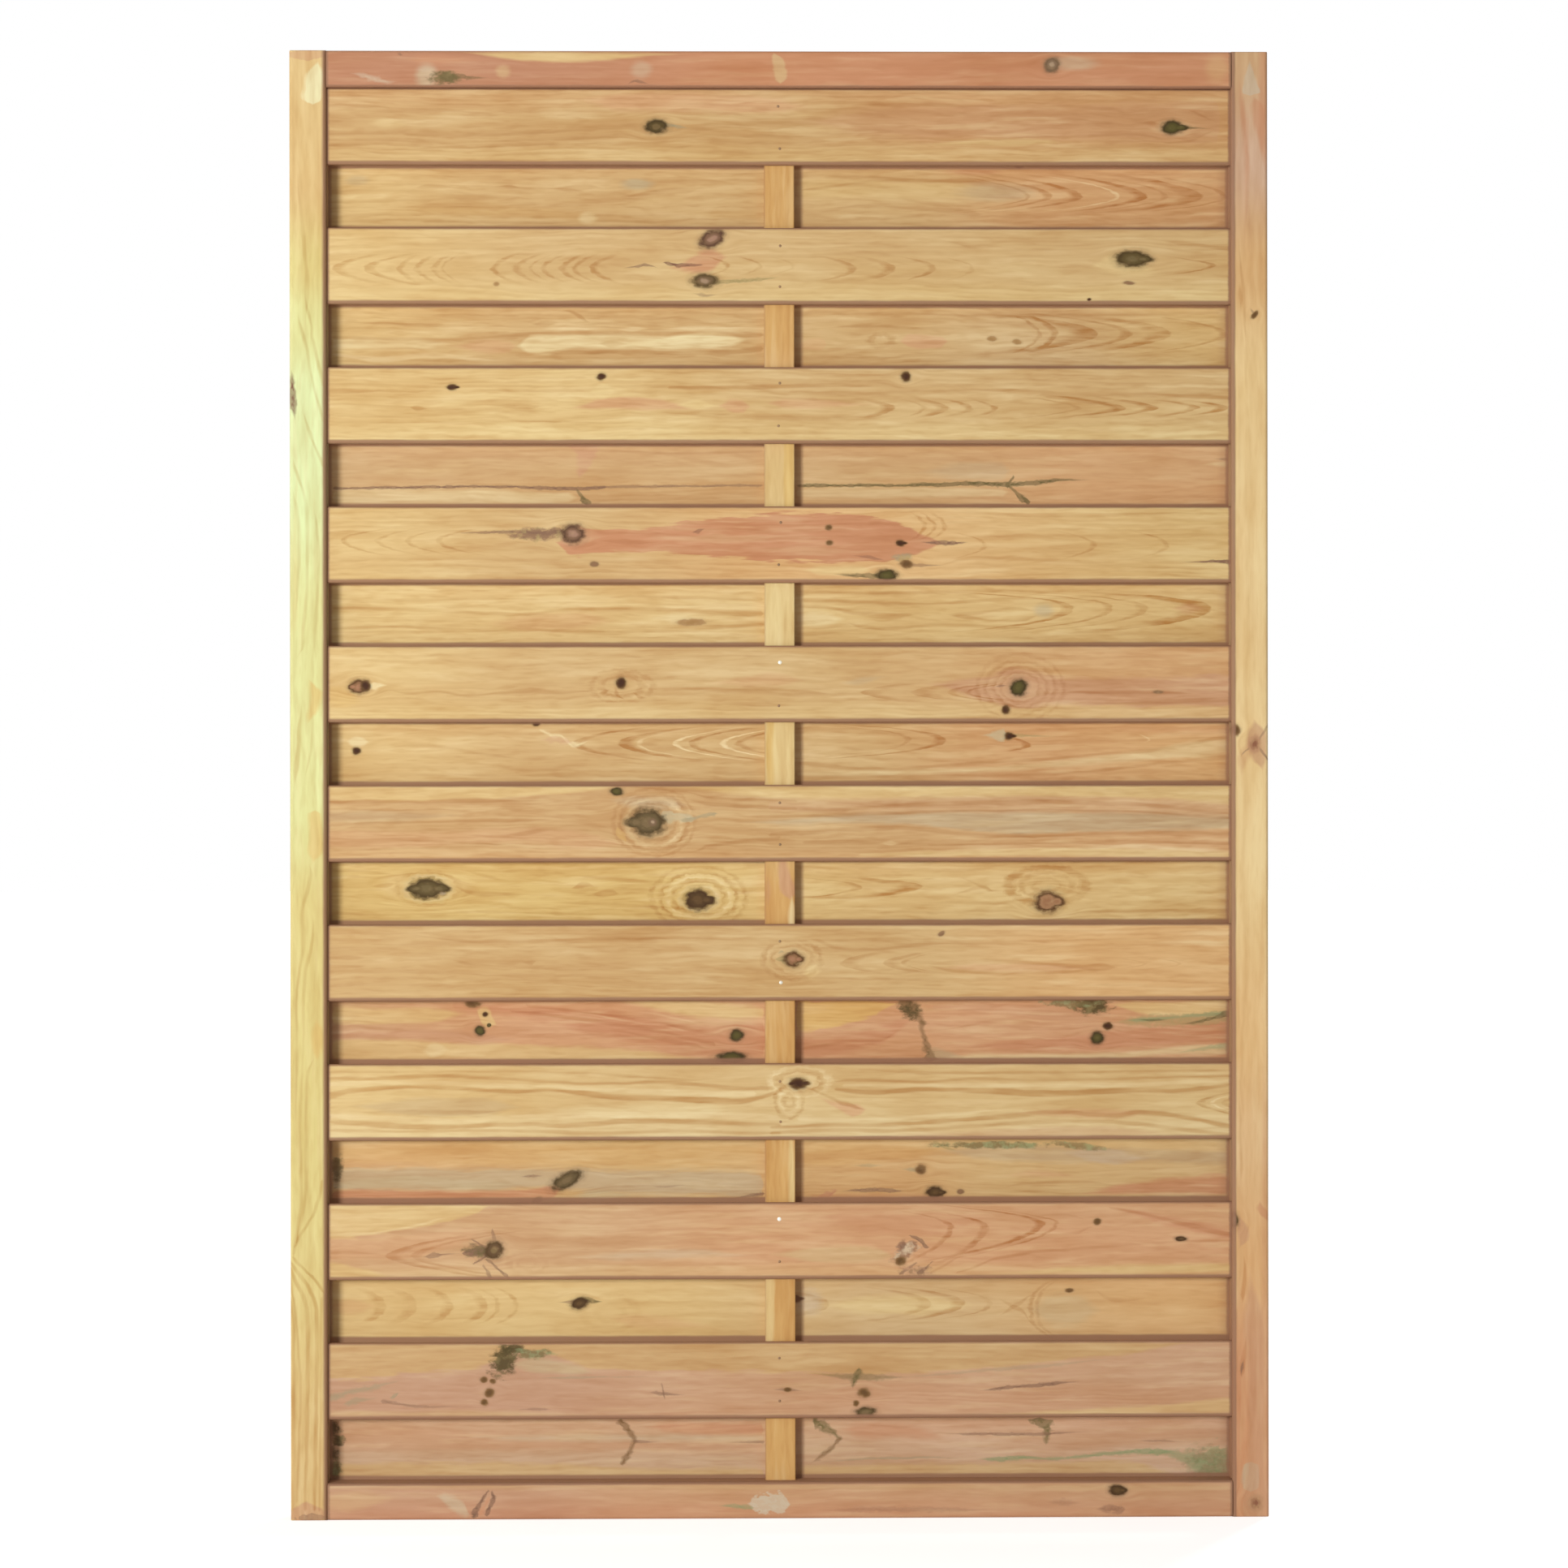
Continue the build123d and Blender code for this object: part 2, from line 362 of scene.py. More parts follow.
BOARDS["rear_slat_03"] = dict(
    grain=0.6, pith=(14, 40, 6, 0.3, 4.0, 0.2),
    base=[(420, "sand"), (750, "oat"), (1100, "oat"), (1350, "tan")],
    bands=[(555, "rose_tan", 0.5), (585, "rose_tan", 0.3), (600, "clay", 0.2), (615, "clay", 0.2)],
    zones=[
        ("rose", 0.75, 5, (718, 546, 34), (722, 562, 26), (716, 582, 12), (713, 592)),
        ("cream", 0.55, 4, (412, 611, 16), (560, 611, 18), (700, 613, 12), (716, 613)),
        ("cream", 0.35, 4, (984, 607, 12), (1235, 607, 10), (1244, 606)),
        ("cream", 0.5, 3, (1475, 573), (1512, 572, 8)),
        ("grey_tan", 0.5, 8, (1120, 583), (1180, 580, 22), (1235, 580, 20), (1248, 580)),
    ],
    lines=[(0.4, (540, 557), (640, 556, 4), (700, 554, 5), (830, 558, 4), (938, 556, 4))],
    marks=[
        ("bark", 0.8, 1.4, (412, 602, 3), (550, 600, 4), (620, 600, 3.5), (700, 602, 5), (745, 600, 4)),
        ("bark", 0.6, 1.4, (745, 600, 3), (938, 598, 2.8)),
        ("olive_bark", 0.8, 1.4, (984, 598, 4), (1100, 598, 4), (1210, 596, 6.5), (1245, 597, 6),
         (1305, 592, 4), (1350, 591)),
        ("olive_bark", 0.7, 2, (711, 603, 2), (716, 611, 7), (722, 620, 13)),
        ("olive_bark", 0.75, 1.5, (1248, 588, 3), (1243, 595, 5), (1242, 599, 5)),
        ("olive_bark", 0.75, 2, (1244, 600, 3), (1253, 609, 7), (1266, 618, 11)),
        ("bark", 0.5, 1.5, (1492, 566), (1512, 566, 4)),
    ],
)
BOARDS["front_slat_04"] = dict(
    grain=0.7, pith=(-6, 22, -4, 0, 5.0, 0.35),
    base=[(420, "honey"), (700, "tan_honey"), (1000, "warm_honey"), (1500, "honey")],
    zones=[
        ("salmon", 0.95, 2.5, (684, 668), (696, 670, 18), (710, 666, 37), (722, 667, 32), (740, 667, 28),
         (800, 665, 31), (860, 663, 44), (1000, 662, 61), (1090, 666, 54), (1110, 667, 44), (1130, 669, 26),
         (1150, 669, 12), (1168, 669)),
        ("pale_honey", 0.6, 4, (985, 702), (1010, 703, 12), (1060, 702, 10), (1080, 703)),
    ],
    lines=[
        (0.4, (1150, 700), (1180, 690, 5), (1230, 688, 5), (1340, 692, 5), (1380, 692)),
        (0.35, (1200, 662), (1260, 660, 6), (1300, 664, 5), (1350, 665)),
        (0.4, (730, 666), (770, 668, 7), (820, 668)),
        (0.35, (1160, 632), (1230, 634, 4), (1330, 636, 5), (1430, 632, 4), (1500, 634)),
    ],
    arches=[
        ("left", 666, 22, 26, 1.8, 60, (420, 9, 0.45), (462, 9, 0.39), (500, 8, 0.39), (537, 9, 0.45)),
        ("right", 648, 40, 40, 2.1, 18, (1140, 5, 0.52), (1152, 5, 0.52), (1165, 5, 0.52)),
        ("right", 672, 26, 26, 2.1, 50, (1215, 6, 0.45), (1350, 8, 0.39), (1440, 8, 0.39)),
    ],
    knots=[
        ("plum", 706, 658, 28, 23, 0), ("brown", 732, 695, 10, 6, 0), ("spot", 1021, 650, 8, 7, 0),
        ("spot", 1022, 669, 8, 6, 0), ("black", 1109, 669, 10, 8, 0, 1.7), ("spot", 1117, 695, 15, 10, 0),
        ("olive", 1093, 709, 26, 14, 0),
    ],
    marks=[
        ("bark", 0.8, 1.4, (1132, 668), (1150, 669, 5), (1175, 669, 5), (1196, 668)),
        ("bark", 0.7, 1.4, (556, 657), (600, 656, 3.5), (640, 655, 4), (664, 656, 5), (690, 654, 8)),
        ("bark", 0.6, 1.4, (1124, 696, 4), (1168, 697)),
        ("olive_bark", 0.75, 2, (1024, 707), (1050, 709, 5), (1085, 709, 7)),
        ("brown", 0.5, 1.5, (1046, 684), (1075, 687, 4), (1092, 690)),
        ("brown", 0.6, 1.5, (850, 656), (860, 654, 5), (869, 651)),
        ("bark", 0.9, 1.3, (1448, 692), (1517, 692, 5)),
    ],
    moulds=[
        ("olive_tan", "bark", 662, 658, 32, 8, 0, 0.85), ("grey", "olive_tan", 1112, 686, 14, 5, 0, 0.7),
    ],
)
BOARDS["rear_slat_04"] = dict(
    grain=0.9, pith=(-2, 14, 26, 0, 6.5, 0.3),
    base=[(420, "pale_honey"), (700, "honey")],
    zones=[
        ("tan", 0.5, 8, (590, 768), (640, 768, 20), (720, 765, 22), (765, 765)),
        ("cream", 0.5, 8, (790, 762), (835, 762, 14), (880, 762)),
        ("cream", 0.5, 6, (985, 763, 14), (1020, 763, 16), (1045, 763)),
        ("clay", 0.5, 5, (1440, 750), (1465, 750, 16), (1488, 749)),
    ],
    lines=[
        (0.4, (412, 749, 4), (560, 753, 5), (640, 757, 5), (680, 753, 5), (730, 750, 4), (800, 750, 5),
         (850, 753, 5), (880, 754, 8), (938, 756, 8)),
        (0.35, (412, 775, 5), (500, 772, 4), (540, 775, 5), (600, 776, 6), (640, 775, 4), (740, 780, 6),
         (780, 778, 5), (938, 770, 6)),
        (0.35, (412, 738, 3), (450, 740, 5), (620, 738, 3), (690, 739)),
        (0.4, (690, 736), (800, 735, 4), (938, 738, 5)),
        (0.5, (990, 739, 5), (1150, 744, 4), (1250, 737, 5), (1285, 740)),
        (0.5, (1160, 757), (1180, 757, 5), (1210, 755, 5), (1235, 751, 4), (1262, 751, 4), (1282, 755)),
        (0.5, (1165, 758), (1185, 760, 6), (1210, 763, 4), (1240, 765, 4), (1265, 763, 5), (1282, 757)),
        (0.5, (1040, 766), (1060, 772, 5), (1100, 774, 6), (1150, 770, 5), (1200, 771, 5), (1240, 774, 4),
         (1270, 771)),
        (0.45, (985, 747, 5), (1020, 748, 5), (1040, 753, 5), (1090, 759, 8), (1120, 758, 5), (1132, 757)),
        (0.4, (985, 782, 6), (1030, 778, 5), (1070, 776)),
        (0.35, (985, 729, 4), (1060, 731, 5), (1250, 728, 4), (1340, 731)),
    ],
    arches=[
        ("right", 749, 17, 26, 2.34, 170, (1322, 16, 0.78), (1371, 12, 0.65), (1413, 14, 0.45),
         (1491, 44, 0.78)),
    ],
    knots=[("pin", 852, 767, 33, 8, 0)],
    stains=[("mint", 1286, 752, 12, 8, 0.7)],
    marks=[
        ("bark", 0.6, 2, (835, 767), (842, 767, 8), (848, 767, 3), (856, 767, 3), (864, 766, 7),
         (869, 766)),
    ],
)
BOARDS["front_slat_05"] = dict(
    grain=0.7, pith=(16, 34, 6, 0.4, 4.6, 0.35),
    base=[(420, "honey"), (700, "tan_honey"), (960, "tan_honey"), (1500, "tan")],
    bands=[(855, "honey", 0), (878, "pale_honey", 0.4)],
    zones=[
        ("rose", 0.8, 6, (1130, 842), (1175, 845, 14), (1220, 849, 36), (1258, 850, 52), (1290, 850, 40),
         (1320, 852, 36), (1460, 852, 38), (1518, 850, 38)),
        ("gold", 0.35, 8, (404, 858, 24), (430, 862, 22), (450, 866)),
        ("clay", 0.4, 6, (860, 842), (920, 840, 14), (960, 838, 18), (1000, 838)),
        ("grey_tan", 0.5, 5, (1030, 842), (1060, 839, 10), (1100, 833)),
    ],
    lines=[
        (0.4, (478, 850), (500, 854, 4), (540, 852, 4), (570, 857, 5), (600, 855, 3), (650, 851, 7),
         (690, 853, 6), (720, 852, 3), (745, 857)),
        (0.45, (800, 849, 4), (960, 850, 4), (1000, 852, 5), (1026, 855)),
        (0.4, (840, 866), (945, 868, 7), (990, 870)), (0.5, (735, 855), (745, 853, 6), (753, 849)),
        (0.5, (758, 848, 3), (762, 858, 5), (772, 864)), (0.5, (778, 852), (786, 858, 6), (800, 860)),
        (0.5, (1295, 854), (1330, 853, 4), (1440, 853, 5), (1485, 856)),
        (0.45, (1200, 860), (1235, 869, 6), (1270, 866)),
        (0.35, (1320, 868), (1400, 866, 4), (1518, 862, 5)),
    ],
    arches=[
        ("left", 853, 16, 16, 1.82, 60, (1062, 26, 0.5), (1123, 32, 0.55), (1168, 12, 0.55),
         (1190, 8, 0.55)),
    ],
    ovals=[
        (766, 846, 1.9, (14, 4, 0.35), (21, 4, 0.3)),
        (1257, 847, 1.3, (19, 3, 0.35), (26, 4, 0.4), (34, 4, 0.35), (42, 4, 0.3)),
    ],
    knots=[
        ("red", 442, 846, 22, 17, 0, -1.2), ("black", 450, 845, 12, 13, 0), ("black", 765, 841, 13, 13, 0),
        ("olive", 1255, 847, 21, 20, 45), ("black", 1240, 875, 10, 11, 0), ("brown", 1427, 853, 11, 4, 0),
    ],
    marks=[
        ("cream", 0.7, 3, (455, 846, 7), (468, 845, 6), (480, 844)),
        ("brown", 0.5, 1.5, (1224, 846), (1233, 845, 4), (1242, 845)),
    ],
)
BOARDS["rear_slat_05"] = dict(
    grain=0.8, pith=(2, 17, -10, 0, 6.0, 0.3),
    base=[(420, "honey"), (700, "tan_honey"), (1050, "tan_honey"), (1250, "tan"), (1500, "warm_honey")],
    zones=[
        ("cream", 0.7, 4, (424, 914), (436, 914, 14), (448, 914, 10), (456, 914)),
        ("cream", 0.5, 5, (985, 954, 6), (1250, 946, 8), (1420, 930, 14), (1512, 920, 22)),
        ("clay", 0.4, 8, (1330, 897), (1400, 898, 12), (1512, 900, 14)),
    ],
    lines=[
        (0.35, (412, 899, 4), (500, 899, 5), (560, 900)),
        (0.4, (470, 922), (500, 919, 5), (540, 920, 5), (580, 927, 5), (620, 932, 4), (645, 935)),
        (0.45, (985, 941, 5), (1080, 948, 5), (1150, 944, 5), (1330, 932, 5), (1420, 925, 5),
         (1460, 918, 5), (1512, 908, 5)),
        (0.45, (985, 958, 5), (1300, 954, 4), (1400, 944, 5), (1460, 938, 5), (1512, 933, 7)),
        (0.35, (985, 898, 5), (1060, 899, 4), (1110, 903)),
        (-0.5, (1395, 903), (1405, 905, 4), (1415, 912, 3), (1400, 918)),
    ],
    arches=[
        ("left", 916, 22, 22, 1.96, 110, (705, 18, 0.64), (762, 20, 0.72), (785, 6, -0.48), (829, 8, -1.12),
         (849, 12, 0.72), (888, 7, -0.96), (906, 12, 0.64)),
        ("right", 912, 18, 20, 2.38, 170, (1122, 8, 0.4), (1164, 16, 0.72)),
        ("right", 919, 24, 14, 1.96, 26, (1270, 12, 0.8)),
    ],
    knots=[
        ("black", 439, 925, 10, 9, 0), ("black", 661, 892, 9, 6, 0), ("black", 1244, 907, 11, 9, 0, 1.6),
    ],
    marks=[
        ("mint", 0.85, 3, (1206, 906), (1225, 906, 8), (1238, 906, 14)),
        ("olive_tan", 0.65, 1.5, (1250, 906, 4), (1310, 907)),
        ("cream", 0.6, 2, (666, 900, 3), (680, 906, 5), (692, 907, 4), (702, 916, 6), (714, 917, 5),
         (727, 912)),
        ("rose", 0.5, 3, (662, 912), (680, 911, 9), (700, 914, 7), (708, 916)),
    ],
)
BOARDS["front_slat_06"] = dict(
    grain=0.8, pith=(26, 30, 3, 0.2, 4.2, 0.3),
    base=[(420, "tan_honey"), (700, "oat"), (1000, "oat"), (1500, "tan")],
    bands=[(985, "rose_tan", 0.3), (1040, "rose_tan", 0.2), (1052, "tan", 0.4)],
    zones=[
        ("honey", 0.9, 4, (404, 975, 22), (560, 976, 20), (700, 972, 13), (745, 970, 6), (762, 969)),
        ("honey", 0.9, 4, (790, 968), (960, 974, 20), (1100, 976, 22), (1170, 975, 18), (1250, 974, 16),
         (1400, 975, 18), (1470, 977, 22), (1518, 980, 24)),
        ("grey_tan", 0.85, 6, (900, 1012), (960, 1013, 8), (1040, 1009, 12), (1130, 1009, 18),
         (1240, 1013, 30), (1300, 1013, 28), (1400, 1012, 26), (1518, 1012, 18)),
        ("grey_tan", 0.5, 6, (404, 1006, 12), (500, 1006, 14), (580, 1004)),
        ("rose_tan", 0.65, 6, (950, 993, 16), (1250, 991, 22), (1400, 993, 20), (1518, 999, 20)),
        ("clay", 0.4, 6, (404, 1034, 22), (520, 1034, 20), (640, 1030, 20), (720, 1036, 24), (780, 1040)),
        ("ash", 0.55, 8, (745, 986), (780, 988, 16), (830, 990, 14), (850, 992)),
        ("pale_honey", 0.6, 4, (1060, 1053, 4), (1330, 1050, 12), (1518, 1053, 8)),
    ],
    lines=[
        (0.55, (404, 988, 4), (600, 987, 5), (690, 986)), (0.35, (404, 997, 3), (500, 998, 4), (640, 996)),
        (0.4, (404, 1016, 4), (560, 1012, 4), (640, 1010, 5), (710, 1011)),
        (0.4, (540, 1028), (620, 1030, 4), (660, 1024, 6), (692, 1022)),
        (0.4, (404, 1036, 8), (440, 1036, 6), (500, 1035, 4), (600, 1040, 4), (640, 1041)),
        (0.5, (950, 1028, 5), (1110, 1020, 6), (1190, 1028, 6), (1240, 1030, 5), (1450, 1026, 5),
         (1518, 1028, 4)),
        (0.5, (880, 1004), (950, 1006, 5), (1210, 999, 4), (1400, 1000, 3), (1518, 1008, 4)),
        (0.5, (950, 996, 4), (1040, 997, 5), (1100, 993, 6), (1200, 989, 7), (1350, 989, 6), (1450, 995, 5),
         (1518, 1003, 4)),
        (0.4, (990, 1038, 4), (1060, 1037, 5), (1150, 1040, 4), (1400, 1037, 4), (1518, 1040, 4)),
        (-0.7, (1080, 1039), (1097, 1039, 6), (1112, 1039)),
        (-0.5, (1230, 1050), (1330, 1046, 5), (1400, 1043, 5), (1518, 1050, 5)),
        (0.55, (845, 1052), (870, 1043, 5), (960, 1033, 5)),
        (0.5, (840, 984), (870, 990, 6), (980, 996, 4)), (0.45, (835, 974), (870, 982, 4), (980, 987, 4)),
    ],
    ovals=[(806, 1013, 1.2, (23, 4, 0.45), (30, 4, -0.45), (36, 5, 0.5), (43, 4, 0.35))],
    knots=[
        ("olive", 760, 975, 16, 10, 0), ("branch", 798, 1013, 42, 33, 0, -1.3),
        ("whorl", 804, 1013, 9, 9, 0),
    ],
    marks=[
        ("mint", 0.8, 3, (818, 1006, 14), (838, 1006, 12), (852, 1008, 8), (860, 1008)),
        ("grey", 0.6, 2, (836, 1010), (845, 1010, 5), (862, 1006, 4), (880, 1003, 5), (886, 1003)),
        ("amber", 0.7, 2, (760, 1018), (763, 1025, 9), (767, 1033, 10), (772, 1038)),
    ],
)
BOARDS["rear_slat_06"] = dict(
    grain=0.9, pith=(6, 18, 8, 0, 6.0, 0.3),
    base=[(800, "warm_gold"), (1100, "honey")],
    lines=[
        (0.5, (552, 1090), (580, 1100, 6), (620, 1102, 5), (665, 1102)),
        (0.45, (695, 1077), (720, 1080, 4), (780, 1085, 6), (815, 1086)),
        (0.5, (703, 1095), (712, 1092, 7), (724, 1090, 6), (734, 1093)),
        (0.5, (726, 1102), (742, 1101, 9), (756, 1100, 8), (764, 1102)),
        (0.45, (665, 1112), (720, 1113, 4), (840, 1119, 4), (860, 1126)),
        (0.4, (452, 1092), (475, 1091, 7), (492, 1088)),
        (0.35, (412, 1072, 4), (460, 1074, 5), (500, 1080)),
        (0.35, (560, 1070), (600, 1080, 5), (640, 1086)),
        (0.5, (990, 1105, 4), (1080, 1104, 5), (1120, 1096)),
        (0.45, (1170, 1104), (1195, 1096, 5), (1215, 1093, 7), (1225, 1100)),
        (0.45, (1180, 1080), (1215, 1094, 6), (1230, 1098)),
        (0.35, (1110, 1112), (1180, 1112, 4), (1240, 1114, 4), (1265, 1122)),
        (0.35, (985, 1069, 4), (1080, 1070, 4), (1180, 1072, 5), (1240, 1068)),
        (0.35, (1300, 1130), (1340, 1124, 5), (1400, 1122, 4), (1512, 1123, 5)),
    ],
    arches=[("right", 1093, 14, 16, 1.95, 90, (1063, 14, 0.6), (1137, 40, 0.66))],
    ovals=[
        (527, 1095, 1.8, (17, 3, -0.4), (22, 4, 0.3)),
        (861, 1106, 1.5, (17, 4, -0.55), (22, 4, 0.45), (27, 4, -0.45), (32, 4, 0.5), (40, 4, 0.4)),
        (1290, 1091, 2.1, (9, 4, 0.3), (16, 4, 0.35), (25, 8, 0.55)),
    ],
    knots=[
        ("grey_olive", 526, 1095, 42, 25, 0, 1.35, -1.2), ("resin", 860, 1109, 31, 26, 0, 1.4),
        ("red_ring", 1291, 1111, 31, 26, 0, 1.35),
    ],
    stains=[("pale_honey", 490, 1092, 16, 14, 0.5)],
    marks=[("chalk", 0.7, 2, (538, 1101), (546, 1101, 5), (552, 1101))],
)
BOARDS["front_slat_07"] = dict(
    grain=0.7, pith=(4, 20, -10, 0, 5.2, 0.3),
    base=[(420, "tan_honey"), (785, "oat"), (1100, "tan_honey"), (1350, "warm_honey")],
    zones=[
        ("clay", 0.5, 4, (1150, 1193), (1200, 1192, 10), (1300, 1193, 9), (1370, 1193)),
        ("pale_honey", 0.5, 6, (985, 1200), (1000, 1196, 20), (1015, 1196)),
    ],
    lines=[
        (0.5, (1136, 1188), (1170, 1186, 6), (1230, 1184, 5), (1330, 1191, 6), (1360, 1192, 10),
         (1380, 1192)),
        (0.45, (1136, 1188), (1165, 1194, 5), (1200, 1198, 5), (1260, 1200, 4), (1320, 1197, 4),
         (1372, 1194)),
        (0.4, (404, 1180, 6), (440, 1180, 5), (455, 1180)),
        (0.35, (404, 1191, 4), (440, 1191, 4), (458, 1190)),
        (0.35, (480, 1150), (560, 1158, 4), (650, 1160, 4), (740, 1156, 5), (860, 1156, 4), (930, 1160)),
        (0.35, (555, 1183), (570, 1186, 5), (590, 1190)), (0.35, (640, 1186), (655, 1186, 6), (662, 1184)),
        (0.35, (990, 1157), (1010, 1160, 5), (1030, 1168, 5), (1080, 1170, 4), (1130, 1164, 5),
         (1200, 1162)),
        (0.35, (1080, 1164), (1150, 1162, 5), (1250, 1163, 4), (1330, 1165)),
        (-0.4, (1380, 1163), (1450, 1162, 6), (1518, 1163, 6)),
    ],
    arches=[
        ("left", 1187, 20, 18, 1.96, 60, (1036, 24, 0.5), (1089, 20, 0.5), (1112, 7, 0.33)),
        ("right", 1188, 12, 12, 1.82, 50, (1412, 5, 0.33), (1455, 6, 0.39)),
    ],
    ovals=[(976, 1182, 1.5, (18, 4, 0.4), (25, 4, 0.4))],
    knots=[("red", 977, 1182, 22, 19, 0, 1.3), ("brown", 1160, 1150, 9, 5, 25)],
    marks=[
        ("olive_tan", 0.8, 2, (953, 1182), (962, 1182, 9), (969, 1182, 12)),
        ("grey", 0.4, 2, (956, 1176), (962, 1172, 5), (968, 1174)),
    ],
)
BOARDS["rear_slat_07"] = dict(
    grain=0.7, pith=(-30, 26, 6, -30, 5.0, 0.3),
    base=[(420, "rose_tan"), (620, "clay")],
    bands=[(1240, "clay", 0.2), (1268, "rose", 0.3), (1285, "clay", 0.2)],
    zones=[
        ("honey", 0.8, 5, (412, 1251, 22), (480, 1252, 20), (540, 1251, 18), (578, 1249)),
        ("honey", 0.8, 6, (412, 1294, 26), (500, 1295, 28), (600, 1296, 24), (800, 1301, 14), (880, 1304)),
        ("cream", 0.4, 5, (518, 1295), (535, 1293, 20), (556, 1294)),
        ("rose", 0.7, 5, (412, 1275, 12), (500, 1274, 14), (590, 1280, 16), (650, 1280)),
        ("salmon", 0.75, 8, (560, 1240, 8), (640, 1246, 16), (700, 1254, 26), (760, 1264, 34),
         (830, 1278, 38), (880, 1285, 36), (940, 1281, 44)),
        ("honey", 0.85, 6, (750, 1233), (800, 1237, 12), (850, 1242, 22), (900, 1246, 22), (940, 1248, 14)),
        ("honey", 0.8, 5, (586, 1244), (594, 1252, 22), (604, 1256, 20), (612, 1262)),
        ("gold", 0.75, 3, (984, 1252, 38), (1010, 1251, 36), (1080, 1242, 18), (1110, 1236)),
        ("salmon", 0.7, 6, (984, 1286, 34), (1050, 1284, 26), (1100, 1268, 22), (1130, 1256)),
        ("salmon", 0.8, 6, (1180, 1290), (1230, 1288, 12), (1300, 1286, 18), (1360, 1282, 24),
         (1440, 1276, 24), (1512, 1273, 26)),
        ("rose", 0.5, 6, (1150, 1240, 8), (1250, 1244, 16), (1330, 1250, 20), (1380, 1250)),
        ("honey", 0.85, 4, (1362, 1236), (1400, 1241, 16), (1440, 1243, 18), (1512, 1240, 18)),
        ("cream", 0.6, 4, (1150, 1305), (1200, 1303, 9), (1380, 1301, 9), (1440, 1295, 10),
         (1512, 1293, 14)),
        ("grey_tan", 0.8, 5, (1144, 1300, 16), (1165, 1300, 14), (1195, 1303)),
    ],
    lines=[
        (0.45, (630, 1246, 4), (760, 1262, 6), (820, 1272, 5), (880, 1286, 5)),
        (0.4, (650, 1239, 4), (780, 1256, 4), (840, 1266, 5), (900, 1278, 4)),
        (0.4, (730, 1268), (800, 1277, 5), (860, 1289, 5), (880, 1292)),
        (-0.4, (690, 1246), (750, 1254, 4), (820, 1264, 4), (870, 1274)),
        (-0.4, (770, 1246), (820, 1252, 4), (880, 1264)),
        (0.35, (1140, 1272), (1200, 1262, 4), (1240, 1256, 4), (1290, 1262)),
        (0.35, (990, 1292, 4), (1040, 1284, 5), (1090, 1280, 5), (1110, 1270)),
    ],
    knots=[
        ("spot", 583, 1237, 18, 9, 0), ("black", 598, 1250, 7, 6, 0), ("olive", 591, 1270, 12, 13, 20),
        ("olive", 602, 1263, 5, 5, 0), ("olive", 908, 1276, 17, 15, 0), ("olive", 901, 1303, 34, 14, 0),
        ("olive", 1352, 1279, 17, 15, 40), ("black", 1365, 1264, 12, 9, 0),
    ],
    marks=[
        ("rot", 0.8, 5, (1112, 1231, 16), (1122, 1242, 16), (1131, 1252, 10), (1138, 1262, 9)),
        ("rot", 0.8, 4, (1136, 1260, 8), (1137, 1270, 6), (1144, 1297, 12), (1146, 1306, 14)),
        ("olive_tan", 0.6, 4, (1368, 1260), (1395, 1258, 12), (1430, 1257, 16), (1470, 1256, 14),
         (1513, 1254, 14)),
        ("moss", 0.75, 3, (1385, 1257), (1400, 1257, 6), (1450, 1253, 4), (1513, 1249, 7)),
        ("olive_bark", 0.7, 1.5, (1398, 1256), (1420, 1257, 4), (1442, 1256)),
        ("olive_bark", 0.7, 1.5, (1446, 1262), (1480, 1258, 4), (1500, 1253, 5), (1513, 1250, 10)),
        ("moss", 0.5, 3, (1436, 1299), (1513, 1288, 8)),
    ],
    moulds=[
        ("mould", "dark_bark", 1346, 1239, 22, 11, 0, 0.95), ("moss", "mould", 1318, 1236, 32, 5, 0, 0.8),
        ("rot", "dark_bark", 1120, 1242, 16, 12, -40, 0.9),
    ],
)
